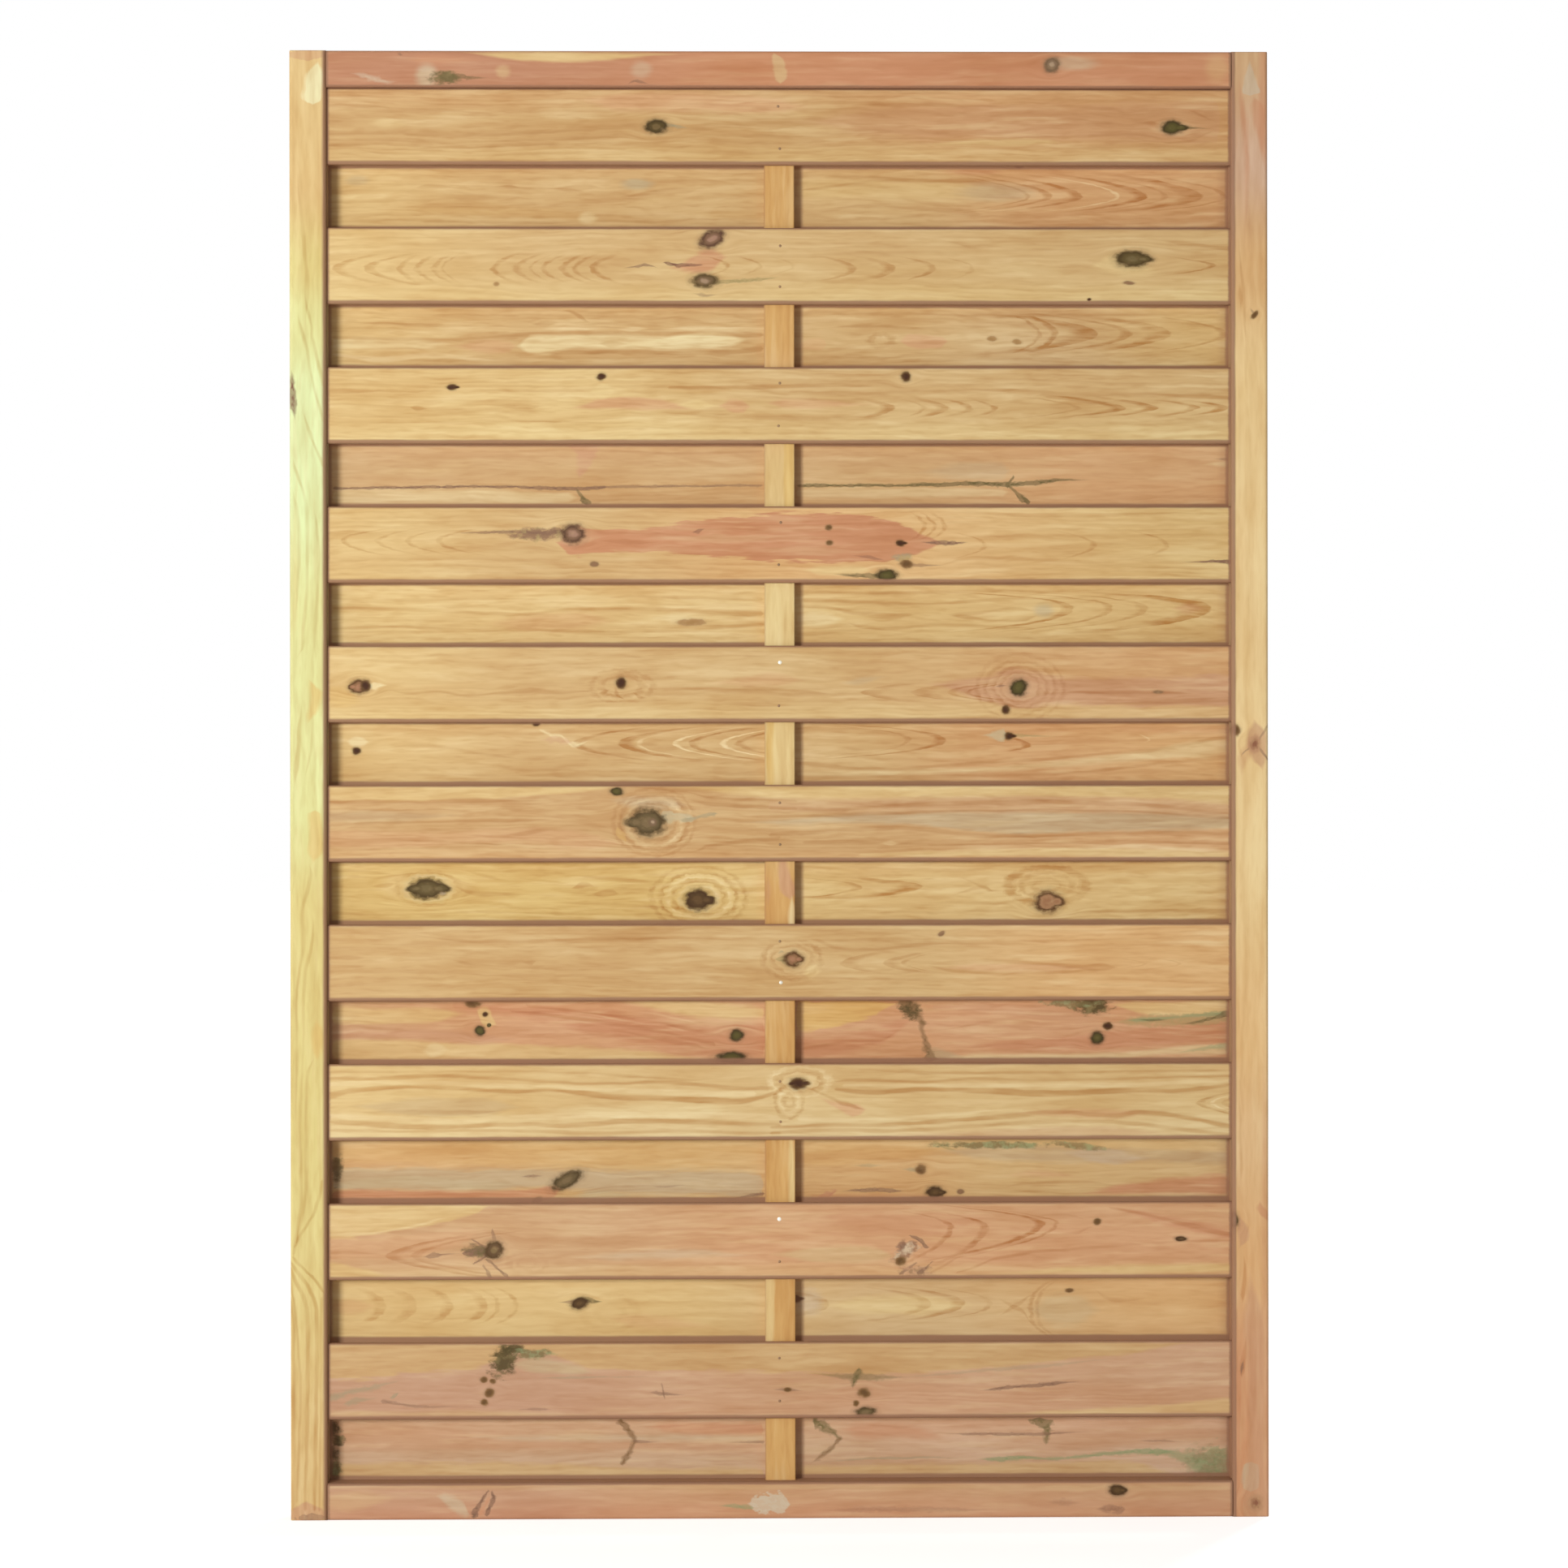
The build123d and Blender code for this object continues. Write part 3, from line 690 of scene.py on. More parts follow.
BOARDS["front_slat_08"] = dict(
    grain=0.6, wander=10, ripple=2, pith=(-2, 44, 2, 0, 10.5, 0.12),
    base=[(420, "honey"), (800, "tan_honey")],
    bands=[(1320, "honey", 0.3), (1355, "pale_honey", 0.3), (1395, "cream", 0.5)],
    zones=[
        ("clay", 0.75, 4, (1004, 1351), (1045, 1366, 16), (1060, 1367, 12), (1070, 1367)),
        ("clay", 0.5, 6, (1230, 1372), (1300, 1371, 10), (1380, 1372, 12), (1440, 1370)),
        ("rose_tan", 0.6, 5, (1080, 1400, 4), (1350, 1395, 16), (1460, 1397)),
        ("grey_tan", 0.4, 6, (420, 1364), (500, 1364, 22), (600, 1364, 22), (650, 1364)),
        ("cream", 0.5, 8, (650, 1366), (750, 1370, 18), (860, 1368, 16), (940, 1370)),
    ],
    lines=[
        (0.6, (404, 1328, 4), (460, 1329, 6), (520, 1326, 6), (580, 1327, 5), (700, 1334, 5),
         (760, 1335, 4), (830, 1334, 6), (910, 1341, 6), (952, 1341, 5)),
        (0.75, (404, 1350, 8), (430, 1344, 7), (520, 1339, 6), (630, 1345, 6), (680, 1343, 6),
         (760, 1352, 9), (820, 1353, 8), (910, 1357, 9), (940, 1352, 6), (962, 1344, 5)),
        (0.7, (404, 1382, 5), (480, 1387, 8), (540, 1389, 7), (650, 1385, 6), (700, 1387, 7),
         (790, 1381, 8), (960, 1386, 5)),
        (0.5, (404, 1393, 4), (500, 1394, 4), (600, 1393, 5), (760, 1396, 5), (830, 1393, 5),
         (900, 1396, 5), (960, 1396, 4)),
        (0.4, (404, 1321, 3), (700, 1321, 3), (830, 1329, 4), (890, 1330)),
        (-0.4, (404, 1336, 6), (470, 1334, 7), (720, 1341, 6), (800, 1345, 8), (930, 1348, 6)),
        (-0.5, (404, 1375, 6), (560, 1381, 7), (640, 1377, 8), (800, 1373, 9), (930, 1376, 9),
         (970, 1378, 6)),
        (0.4, (432, 1370), (470, 1371, 5), (530, 1370, 7), (580, 1371, 6), (632, 1368)),
        (0.6, (1010, 1335), (1040, 1332, 5), (1080, 1331, 5), (1140, 1333, 5), (1200, 1329, 5),
         (1300, 1331, 4), (1518, 1325, 4)),
        (0.75, (1030, 1342, 4), (1070, 1346, 7), (1150, 1342, 6), (1200, 1344, 8), (1300, 1347, 8),
         (1400, 1343, 8), (1450, 1344, 6), (1518, 1337, 5)),
        (0.7, (950, 1389, 4), (1000, 1387, 5), (1130, 1384, 6), (1260, 1374, 7), (1310, 1370, 7),
         (1340, 1373, 6), (1380, 1374, 7), (1410, 1371, 7), (1480, 1380, 6), (1518, 1388, 6)),
        (0.6, (950, 1396, 5), (1000, 1393, 6), (1130, 1392, 5), (1350, 1381, 6), (1518, 1398, 5)),
        (0.6, (992, 1340, 3), (1030, 1355, 5), (1050, 1362, 6), (1070, 1368)),
        (0.5, (1060, 1318, 3), (1150, 1322, 5), (1518, 1319, 3)),
        (-0.4, (1040, 1338, 5), (1400, 1336, 6), (1518, 1331, 5)),
        (-0.4, (985, 1379, 5), (1060, 1380, 5), (1200, 1371, 5), (1260, 1366)),
        (0.35, (985, 1352), (1100, 1352, 3), (1200, 1353)),
    ],
    arches=[("left", 1360, 22, 24, 1.69, 70, (1474, 11, 0.6), (1491, 6, -0.5), (1506, 9, 0.5))],
    ovals=[
        (972, 1357, 0.85, (9, 6, 0.5), (15, 5, -0.4), (22, 6, 0.5)),
        (986, 1333, 2.0, (9, 3, -0.4), (14, 5, 0.5), (19, 4, -0.5)),
    ],
    knots=[("black", 984, 1335, 23, 14, 0, 1.25, -1.15)],
)
BOARDS["rear_slat_08"] = dict(
    grain=0.6, pith=(20, 34, 4, 0.2, 4.2, 0.25),
    base=[(420, "tan"), (800, "oat"), (1100, "toffee"), (1250, "oat"), (1500, "sand")],
    bands=[(1415, "honey", 0.5), (1428, "honey", 0.2)],
    zones=[
        ("golden", 0.4, 6, (412, 1423, 20), (800, 1424, 26), (938, 1424, 22)),
        ("grey_tan", 0.9, 6, (412, 1453, 26), (500, 1453, 30), (600, 1454, 30), (680, 1452, 26),
         (760, 1457, 32), (860, 1457, 32), (938, 1460, 28)),
        ("mint", 0.5, 5, (412, 1461, 10), (500, 1455, 14), (600, 1461, 14), (660, 1456)),
        ("salmon", 0.85, 4, (412, 1475, 17), (500, 1475, 17), (650, 1474, 18), (682, 1468, 16),
         (700, 1460)),
        ("mint", 0.6, 5, (700, 1474), (735, 1473, 16), (790, 1474)),
        ("golden", 0.4, 6, (984, 1424, 24), (1060, 1424, 24), (1130, 1420, 16), (1170, 1418)),
        ("grey_tan", 0.7, 6, (1150, 1418), (1200, 1420, 16), (1300, 1422, 22), (1420, 1424, 18),
         (1512, 1426, 16)),
        ("chalk", 0.7, 5, (1300, 1420), (1340, 1422, 16), (1380, 1426, 18), (1425, 1427)),
        ("salmon", 0.8, 6, (1320, 1472), (1370, 1467, 12), (1420, 1463, 20), (1470, 1461, 24),
         (1512, 1460, 26)),
        ("salmon", 0.5, 5, (1000, 1476, 8), (1100, 1476, 10), (1180, 1478, 10), (1300, 1478, 8),
         (1400, 1478)),
        ("salmon", 0.4, 6, (1220, 1450), (1280, 1446, 10), (1350, 1452)),
    ],
    lines=[
        (0.45, (1230, 1465), (1260, 1458, 4), (1340, 1456, 4), (1385, 1462)),
        (0.4, (1235, 1466), (1270, 1468, 4), (1305, 1467)),
        (0.35, (1040, 1430), (1090, 1428, 5), (1130, 1430)),
    ],
    knots=[
        ("branch", 698, 1454, 40, 18, 27), ("brown", 662, 1479, 13, 7, 20),
        ("spot", 1135, 1441, 12, 12, 30), ("resin", 1152, 1469, 22, 14, 0, 1.2),
        ("brown", 1183, 1468, 8, 6, 0),
    ],
    marks=[
        ("bark", 0.6, 1.4, (636, 1450), (655, 1449, 3.5), (672, 1449)),
        ("bark", 0.65, 1.4, (892, 1478), (939, 1471, 6)),
        ("bark", 0.35, 1.4, (800, 1462), (820, 1462, 3), (850, 1460)),
        ("olive_tan", 0.7, 2, (1152, 1408, 4), (1166, 1414, 6), (1182, 1418)),
        ("bark", 0.7, 1.5, (1030, 1468), (1060, 1466, 4), (1100, 1467, 5), (1116, 1467)),
        ("red", 0.6, 2, (996, 1479), (1012, 1474, 6), (1026, 1470, 7), (1034, 1466)),
        ("grey", 0.4, 2, (1046, 1437), (1070, 1436, 4), (1094, 1436)),
        ("grey", 0.6, 2.5, (1106, 1440), (1130, 1441, 7)),
        ("olive_bark", 0.6, 1.5, (1175, 1468), (1183, 1468, 3), (1190, 1469)),
    ],
    moulds=[
        ("moss", "mould", 1225, 1411, 70, 4, 0, 0.85), ("moss", "mould", 1330, 1412, 34, 4, -6, 0.7),
        ("mould", "dark_bark", 414, 1440, 8, 18, 0, 0.8),
    ],
)
BOARDS["front_slat_09"] = dict(
    grain=0.6, pith=(2, 18, 24, 3, 6.5, 0.25),
    base=[(700, "rose_tan"), (960, "clay")],
    bands=[(1492, "rose_tan", 0.3), (1545, "clay", 0), (1565, "honey", 0.3)],
    zones=[
        ("honey", 0.85, 3, (404, 1504, 42), (450, 1503, 40), (530, 1497, 27), (560, 1494, 19),
         (590, 1489, 10), (606, 1485)),
        ("honey", 0.8, 4, (404, 1566, 24), (430, 1568, 17), (460, 1571, 10), (496, 1574)),
        ("clay", 0.5, 6, (404, 1538, 24), (450, 1538, 30), (520, 1534, 30), (570, 1524, 20), (600, 1516)),
        ("salmon", 0.35, 8, (980, 1500), (1050, 1503, 26), (1120, 1510, 30), (1180, 1506, 24),
         (1220, 1500)),
        ("sand", 0.7, 5, (940, 1545), (1000, 1546, 18), (1080, 1546, 18), (1108, 1548)),
        ("salmon", 0.6, 5, (1360, 1486), (1420, 1500, 12), (1470, 1510, 16), (1518, 1522, 12)),
        ("honey", 0.75, 5, (1190, 1570), (1300, 1566, 8), (1518, 1562, 12)),
        ("ash", 0.4, 6, (690, 1550), (760, 1548, 10), (860, 1544, 12), (940, 1548)),
    ],
    lines=[
        (-0.5, (404, 1521, 4), (470, 1518, 4), (530, 1506, 4), (580, 1494)),
        (0.35, (404, 1544, 4), (440, 1544, 4), (480, 1545)),
        (0.4, (1146, 1568, 3), (1180, 1549, 5), (1220, 1537, 5), (1270, 1527, 5), (1330, 1518, 5),
         (1352, 1510)),
        (0.4, (1180, 1568, 3), (1220, 1553, 4), (1270, 1543, 5), (1400, 1533, 4), (1518, 1528, 4)),
        (0.35, (1260, 1500), (1310, 1496, 4), (1345, 1504)),
        (0.5, (1368, 1489, 3), (1440, 1503, 6), (1480, 1513, 7), (1518, 1521, 6)),
    ],
    arches=[
        ("left", 1546, 26, 24, 1.68, 150, (476, 20, 0.59), (506, 14, 0.45)),
        ("right", 1512, 26, 62, 1.82, 70, (1174, 8, 0.59), (1217, 11, 0.78)),
        ("right", 1508, 20, 38, 1.82, 160, (1287, 13, 0.78), (1304, 7, 0.45)),
    ],
    ovals=[(650, 1556, 1.6, (8, 4, 0.15), (16, 5, 0.15))],
    knots=[
        ("star", 609, 1540, 22, 22, 0), ("spot", 1110, 1554, 13, 10, 20), ("spot", 1352, 1505, 9, 8, 0),
        ("resin", 1455, 1526, 15, 6, 0),
    ],
    marks=[
        ("bark", 0.6, 1.5, (520, 1549), (532, 1547, 7), (545, 1546, 3), (575, 1544)),
        ("bark", 0.8, 1.5, (572, 1544, 6), (585, 1542, 10), (600, 1541, 8)),
        ("bark", 0.7, 1.5, (583, 1528, 3), (600, 1538, 4)),
        ("bark", 0.7, 1.5, (584, 1556, 3), (603, 1546, 3)),
        ("bark", 0.5, 1.5, (607, 1516, 4), (610, 1530, 4)),
        ("bark", 0.6, 1.5, (600, 1552, 3), (610, 1560, 5), (626, 1573, 5)),
        ("bark", 0.5, 1.5, (596, 1560, 3), (601, 1567, 5), (604, 1574, 6)),
        ("bark", 0.8, 1.5, (1122, 1523, 3), (1136, 1530, 6), (1142, 1536, 4)),
        ("bark", 0.7, 1.5, (1110, 1568, 5), (1128, 1557, 3)),
        ("bark", 0.65, 1.5, (1132, 1568, 6), (1142, 1562, 4), (1148, 1555, 2)),
    ],
    moulds=[
        ("bark", "olive_bark", 588, 1542, 16, 9, 0, 0.85), ("ash", "bark", 1117, 1541, 17, 9, 35, 0.7),
        ("bark", "brown", 1110, 1536, 10, 5, 60, 0.7), ("rose", "bark", 1128, 1566, 18, 7, 0, 0.6),
    ],
)
BOARDS["rear_slat_09"] = dict(
    grain=0.5, pith=(0, 16, 3, 0, 6.5, 0.25),
    base=[(800, "honey"), (1100, "sand"), (1500, "warm_honey")],
    zones=[
        ("tan", 0.5, 6, (412, 1610, 16), (440, 1610, 18), (470, 1609)),
        ("tan", 0.5, 8, (740, 1622), (780, 1628, 18), (840, 1632, 14), (900, 1638)),
        ("pale_honey", 0.6, 8, (990, 1608), (1060, 1608, 22), (1150, 1608, 24), (1215, 1608)),
        ("mint", 0.35, 12, (1262, 1614), (1290, 1614, 34), (1330, 1614, 40), (1362, 1614)),
    ],
    lines=[
        (0.4, (1225, 1598), (1245, 1608, 6), (1262, 1618, 5), (1275, 1634)),
        (0.4, (1228, 1622), (1245, 1612, 6), (1262, 1602, 5), (1280, 1592)),
        (0.35, (1345, 1586), (1360, 1598, 5), (1385, 1602, 5), (1420, 1598)),
    ],
    arches=[
        ("right", 1608, 40, 40, 2.34, 30, (474, 16, 0.39), (513, 18, 0.45), (557, 14, 0.45),
         (600, 14, 0.45), (615, 5, 0.33), (638, 6, 0.39)),
        ("right", 1607, 24, 24, 2.21, 90, (1021, 20, 0.45), (1146, 18, 0.52), (1188, 20, 0.52),
         (1222, 7, 0.39)),
        ("left", 1614, 60, 60, 2.6, 30, (1268, 6, 0.45), (1276, 5, 0.33)),
    ],
    ovals=[(752, 1618, 1.6, (12, 6, 0.15), (24, 7, 0.15))],
    knots=[
        ("resin", 714, 1606, 21, 14, 14), ("black", 981, 1600, 12, 9, 0, 1.6),
        ("spot", 1318, 1590, 10, 5, 0),
    ],
    stains=[("chalk", 998, 1604, 14, 16, 0.6)],
    marks=[
        ("bark", 0.6, 1.5, (684, 1604), (712, 1604, 6)),
        ("olive_bark", 0.7, 1.5, (718, 1601, 6), (734, 1603, 5), (744, 1604)),
    ],
)
BOARDS["front_slat_10"] = dict(
    grain=0.5, pith=(10, 22, -22, -4, 5.0, 0.25),
    base=[(640, "dull_rose"), (900, "rose")],
    bands=[(1700, "rose_ash", 0.4), (1738, "rose_ash", 0.3)],
    zones=[
        ("oat", 0.85, 4, (404, 1675, 48), (500, 1673, 42), (560, 1671, 38), (596, 1669, 32),
         (622, 1664, 16), (650, 1660, 12), (690, 1663, 22), (730, 1669, 34), (800, 1671, 38),
         (900, 1671, 38), (1060, 1673, 42), (1130, 1672, 40), (1300, 1665, 26), (1400, 1660, 16),
         (1480, 1653)),
        ("grey_tan", 0.75, 6, (622, 1682), (655, 1681, 22), (690, 1685, 18), (718, 1689, 9), (735, 1692)),
        ("rose", 0.5, 8, (960, 1722), (1050, 1722, 30), (1250, 1722, 36), (1400, 1720, 30),
         (1518, 1716, 20)),
        ("sand", 0.6, 6, (404, 1742, 8), (500, 1743, 8), (640, 1743, 10), (760, 1744)),
        ("honey", 0.6, 4, (1150, 1744), (1300, 1741, 7), (1440, 1736, 12), (1518, 1732, 18)),
    ],
    knots=[
        ("spot", 596, 1700, 9, 7, 0), ("spot", 607, 1702, 8, 6, 0), ("spot", 603, 1716, 11, 11, 0),
        ("spot", 597, 1728, 9, 8, 0), ("spot", 1065, 1716, 15, 12, 0), ("spot", 1055, 1729, 7, 7, 0),
        ("branch", 1067, 1740, 25, 13, 0), ("spot", 970, 1712, 9, 5, 0),
    ],
    marks=[
        ("grey", 0.6, 4, (404, 1724, 9), (425, 1717, 8), (470, 1707, 6), (500, 1700)),
        ("grey", 0.6, 4, (420, 1731), (432, 1728, 9), (470, 1722)),
        ("bark", 0.5, 2, (472, 1727, 5), (490, 1730, 4), (520, 1733, 3.5), (610, 1734)),
        ("grey", 0.6, 1.5, (478, 1723), (486, 1720, 6), (494, 1715)),
        ("bark", 0.5, 1.4, (636, 1737), (660, 1736, 3.5), (684, 1737)),
        ("bark", 0.6, 1.5, (794, 1715), (815, 1717, 5), (848, 1719)),
        ("bark", 0.6, 1.5, (815, 1706, 2), (818, 1721, 3)),
        ("grey", 0.45, 1.5, (655, 1698), (700, 1697, 3.5), (830, 1696)),
        ("mould", 0.6, 3.5, (994, 1692), (1045, 1696, 8), (1090, 1697, 7), (1124, 1696)),
        ("olive_bark", 0.8, 3.5, (1058, 1687, 7), (1055, 1698, 9), (1051, 1707, 5)),
        ("bark", 0.6, 1.5, (948, 1712), (970, 1712, 4), (992, 1713)),
        ("bark", 0.75, 1.4, (1204, 1713), (1230, 1711, 4.5), (1260, 1708, 4), (1300, 1705, 4.5),
         (1338, 1702)),
        ("grey", 0.35, 2, (1060, 1700), (1200, 1690, 4), (1300, 1682, 4), (1400, 1672)),
    ],
    moulds=[
        ("olive_bark", "dark_bark", 621, 1676, 15, 20, -28, 0.95),
        ("dark_bark", "dark_bark", 632, 1662, 13, 8, 0, 0.9), ("moss", "mould", 656, 1668, 24, 6, 0, 0.9),
    ],
)
BOARDS["rear_slat_10"] = dict(
    grain=0.6, pith=(6, 34, 4, 0, 4.6, 0.25),
    base=[(960, "rose_ash"), (1200, "pink_ash")],
    bands=[(1760, "clay", 0.3), (1790, "rose_ash", 0.4)],
    zones=[
        ("tan_honey", 0.8, 6, (412, 1816, 26), (700, 1814, 24), (800, 1817, 18), (938, 1817, 18)),
        ("salmon", 0.65, 6, (790, 1757), (820, 1758, 14), (870, 1761, 18), (938, 1762, 18)),
        ("rose", 0.5, 8, (412, 1772, 30), (600, 1776, 26), (760, 1780, 20), (938, 1785, 14)),
        ("ash", 0.5, 6, (560, 1770), (640, 1772, 10), (938, 1771, 8)),
        ("salmon", 0.5, 9, (1032, 1761), (1055, 1762, 20), (1120, 1764, 18), (1150, 1769, 10),
         (1168, 1771)),
        ("rose", 0.3, 8, (1180, 1780), (1260, 1780, 22), (1360, 1776, 20), (1480, 1768, 18), (1512, 1766)),
        ("tan_honey", 0.75, 6, (984, 1814, 16), (1100, 1813, 20), (1300, 1813, 26), (1400, 1814, 26),
         (1470, 1820)),
    ],
    marks=[
        ("rot", 0.85, 4, (766, 1751, 12), (775, 1762, 10), (781, 1772, 8), (780, 1780, 6), (768, 1803, 8)),
        ("bark", 0.6, 1.4, (783, 1776, 4), (818, 1777)), ("bark", 0.5, 1.4, (886, 1777), (939, 1776, 4)),
        ("mould", 0.85, 5, (1004, 1752, 16), (1030, 1767, 9), (1036, 1773, 5)),
        ("rot", 0.8, 4, (1036, 1773, 6), (1026, 1784, 7), (1013, 1793, 7), (996, 1804)),
        ("mould", 0.85, 5, (1281, 1750, 26), (1290, 1760, 14), (1289, 1778, 5)),
        ("bark", 0.6, 1.4, (1156, 1767), (1200, 1767, 3.5), (1288, 1767, 4), (1350, 1763)),
        ("moss", 0.8, 2.5, (1200, 1798), (1230, 1798, 6), (1260, 1796, 5), (1300, 1797, 4), (1390, 1789, 6),
         (1430, 1789, 8), (1455, 1788)),
        ("grey", 0.5, 1.5, (996, 1802), (1060, 1798, 3), (1130, 1796, 3), (1210, 1797)),
        ("moss", 0.7, 8, (1425, 1789, 4), (1445, 1791, 12), (1462, 1797, 20), (1480, 1803, 32),
         (1512, 1806, 50)),
        ("bark", 0.5, 1.4, (1395, 1776), (1425, 1775, 3), (1465, 1777)),
    ],
    moulds=[
        ("moss", "mould", 1490, 1806, 30, 20, -20, 0.4),
        ("dark_bark", "dark_bark", 409, 1762, 10, 11, 0, 0.95),
        ("mould", "dark_bark", 417, 1775, 7, 7, 0, 0.95),
        ("dark_bark", "dark_bark", 409, 1790, 9, 9, 0, 0.9), ("moss", "mould", 412, 1811, 9, 14, 0, 0.95),
    ],
)
BOARDS["top_rail"] = dict(
    grain=0.35, pith=(16, 30, 6, 0.1, 4.2, 0.2),
    base=[(620, "dull_salmon"), (960, "salmon")],
    zones=[
        ("honey", 0.85, 4, (560, 64), (620, 68, 9), (700, 70, 14), (790, 68, 6), (860, 66)),
        ("sand", 0.7, 3, (952, 64), (958, 72, 14), (962, 98, 14), (962, 104)),
        ("salmon", 0.4, 8, (980, 70), (1050, 74, 16), (1200, 78, 20), (1280, 72, 14), (1340, 70)),
        ("salmon", 0.5, 6, (490, 72), (530, 74, 14), (620, 72)),
    ],
    knots=[("whorl", 1296, 80, 19, 17, 50)],
    stains=[
        ("ash", 525, 93, 12, 14, 0.7), ("honey", 1500, 84, 14, 16, 0.3), ("ash", 1320, 78, 30, 8, 0.5),
        ("sand", 620, 88, 8, 8, 0.5), ("ash", 790, 86, 12, 10, 0.4),
    ],
    marks=[
        ("olive_bark", 0.6, 1.5, (560, 94, 7), (580, 96, 5), (604, 96)),
        ("chalk", 0.5, 3, (428, 90), (450, 94, 7), (475, 100, 6), (492, 100)),
        ("bark", 0.6, 1.5, (770, 105), (780, 100, 3), (790, 101, 4), (802, 104)),
        ("bark", 0.5, 1.5, (488, 66), (493, 67, 4), (498, 68)),
    ],
    moulds=[("mould", "olive_bark", 548, 96, 18, 8, 0, 0.95)],
)
BOARDS["bottom_rail"] = dict(
    grain=0.4, pith=(-10, 26, 8, 0, 4.6, 0.2),
    base=[(640, "dull_rose"), (800, "rose")],
    bands=[(1838, "rose_tan", 0.3), (1866, "salmon", 0.4)],
    zones=[
        ("ash", 0.6, 6, (535, 1842), (550, 1848, 16), (572, 1860, 18), (580, 1868)),
        ("honey", 0.25, 8, (404, 1850, 20), (450, 1848, 22), (500, 1844)),
        ("sand", 0.5, 6, (404, 1832, 6), (1512, 1832, 6)),
        ("rose", 0.5, 6, (1000, 1856), (1080, 1858, 10), (1200, 1860, 12), (1340, 1852, 14),
         (1510, 1856, 10)),
    ],
    knots=[("resin", 1377, 1836, 20, 14, 0, 1.2)],
    marks=[
        ("bark", 0.8, 2, (584, 1868, 9), (589, 1856, 7), (600, 1838, 4)),
        ("bark", 0.8, 2, (600, 1866, 6), (608, 1846, 7), (606, 1839, 4)),
        ("salmon", 0.6, 2, (592, 1866, 5), (602, 1846, 4)),
        ("chalk", 0.95, 3, (919, 1853), (932, 1853, 20), (950, 1852, 23), (966, 1853, 20), (975, 1853)),
        ("moss", 0.6, 2, (882, 1855), (900, 1856, 5), (926, 1858, 5)),
        ("brown", 0.45, 3, (1348, 1860), (1362, 1859, 10), (1382, 1860, 10), (1388, 1860)),
        ("brown", 0.25, 4, (1284, 1851), (1310, 1851, 9), (1336, 1852)),
        ("brown", 0.25, 3, (995, 1861), (1060, 1860, 7), (1180, 1860, 6), (1230, 1860)),
    ],
)
BOARDS["left_stile"] = dict(
    grain=0.5, pith=(4, 30, 6, 2, 5.5, 0.3),
    base=[
        (230, "honey"), (330, "straw"), (400, "lime"), (490, "pale_lime"), (620, "pale_lime"),
        (760, "lime"), (1000, "lime"), (1130, "straw"), (1450, "straw"), (1850, "honey"),
    ],
    zones=[
        # painted highlight: a pale glare near the top of the stile
        ("white_pine", 0.7, 4, (392, 74), (388, 90, 22), (386, 110, 24), (385, 124, 22), (385, 130)),
        ("gold", 0.6, 5, (380, 835), (388, 850, 14), (389, 862, 14), (384, 880, 12), (378, 894)),
        ("gold", 0.55, 5, (388, 1002, 16), (389, 1030, 18), (388, 1052, 18), (386, 1064)),
        ("gold", 0.5, 5, (390, 1252), (391, 1270, 14), (391, 1296, 12), (392, 1310)),
        ("rose", 0.8, 6, (378, 1848), (378, 1860, 40), (378, 1872, 44)),
        ("rose", 0.6, 3, (378, 76), (378, 70, 40), (378, 64, 44)),
        ("pale_honey", 0.5, 8, (378, 1775), (380, 1800, 26), (380, 1840)),
        ("gold", 0.35, 8, (366, 560), (364, 640, 8), (364, 760, 6), (362, 800)),
    ],
    lines=[
        (0.4, (366, 200), (370, 250, 5), (377, 330, 6), (378, 370, 5), (376, 400)),
        (0.45, (374, 350), (378, 380, 4), (384, 400, 4), (386, 420, 5), (398, 475, 4)),
        (0.4, (366, 380), (370, 400, 4), (378, 430, 5), (383, 460, 4), (390, 490, 4), (398, 520, 4)),
        (0.4, (372, 500), (380, 530, 5), (386, 545, 4), (398, 575, 4)),
        (0.4, (360, 560), (364, 580, 5), (372, 600, 4), (378, 630, 5), (378, 730, 5), (374, 770, 5),
         (372, 800, 4), (364, 812)),
        (0.4, (358, 590), (364, 620, 5), (368, 660, 4), (367, 720, 4), (364, 780)),
        (0.35, (386, 620), (391, 650, 4), (393, 700, 4), (387, 790, 4), (391, 820)),
        (0.45, (372, 862), (370, 890, 5), (368, 920, 5), (365, 950, 6), (362, 975)),
        (0.4, (384, 885), (382, 930, 4), (374, 965)),
        (0.45, (380, 1060), (383, 1080, 6), (373, 1120, 5), (373, 1170, 5), (366, 1220, 4), (366, 1320, 4),
         (364, 1400)),
        (0.4, (385, 1120), (385, 1160, 5), (378, 1190, 5), (374, 1230, 5), (374, 1280, 4), (370, 1380, 4),
         (371, 1480, 5), (362, 1545, 4)),
        (0.4, (388, 1300), (380, 1320, 5), (377, 1370, 4), (378, 1440, 6), (374, 1490, 5), (366, 1530, 4)),
        (0.45, (397, 1455, 4), (392, 1480, 5), (384, 1500, 5), (374, 1515, 5), (364, 1535, 4)),
        (0.6, (359, 1556, 4), (376, 1580, 7), (384, 1595, 6), (390, 1615, 6), (388, 1860, 4)),
        (0.6, (362, 1550, 4), (372, 1562, 6), (384, 1572, 6), (398, 1592, 4)),
        (0.6, (358, 1562, 4), (370, 1590, 6), (378, 1612, 6), (379, 1720, 6), (376, 1860, 4)),
        (0.5, (358, 1575, 3), (362, 1600, 4), (370, 1700, 4), (366, 1850, 3)),
        (0.5, (358, 1600, 4), (361, 1650, 6), (361, 1860, 4)), (0.5, (396, 1600, 3), (394, 1860, 3)),
    ],
    marks=[
        ("brown", 0.8, 3, (359, 450), (360, 470, 7), (361, 500, 9), (364, 520)),
        ("bark", 0.5, 2, (384, 1868, 30), (384, 1872, 34)),
    ],
)
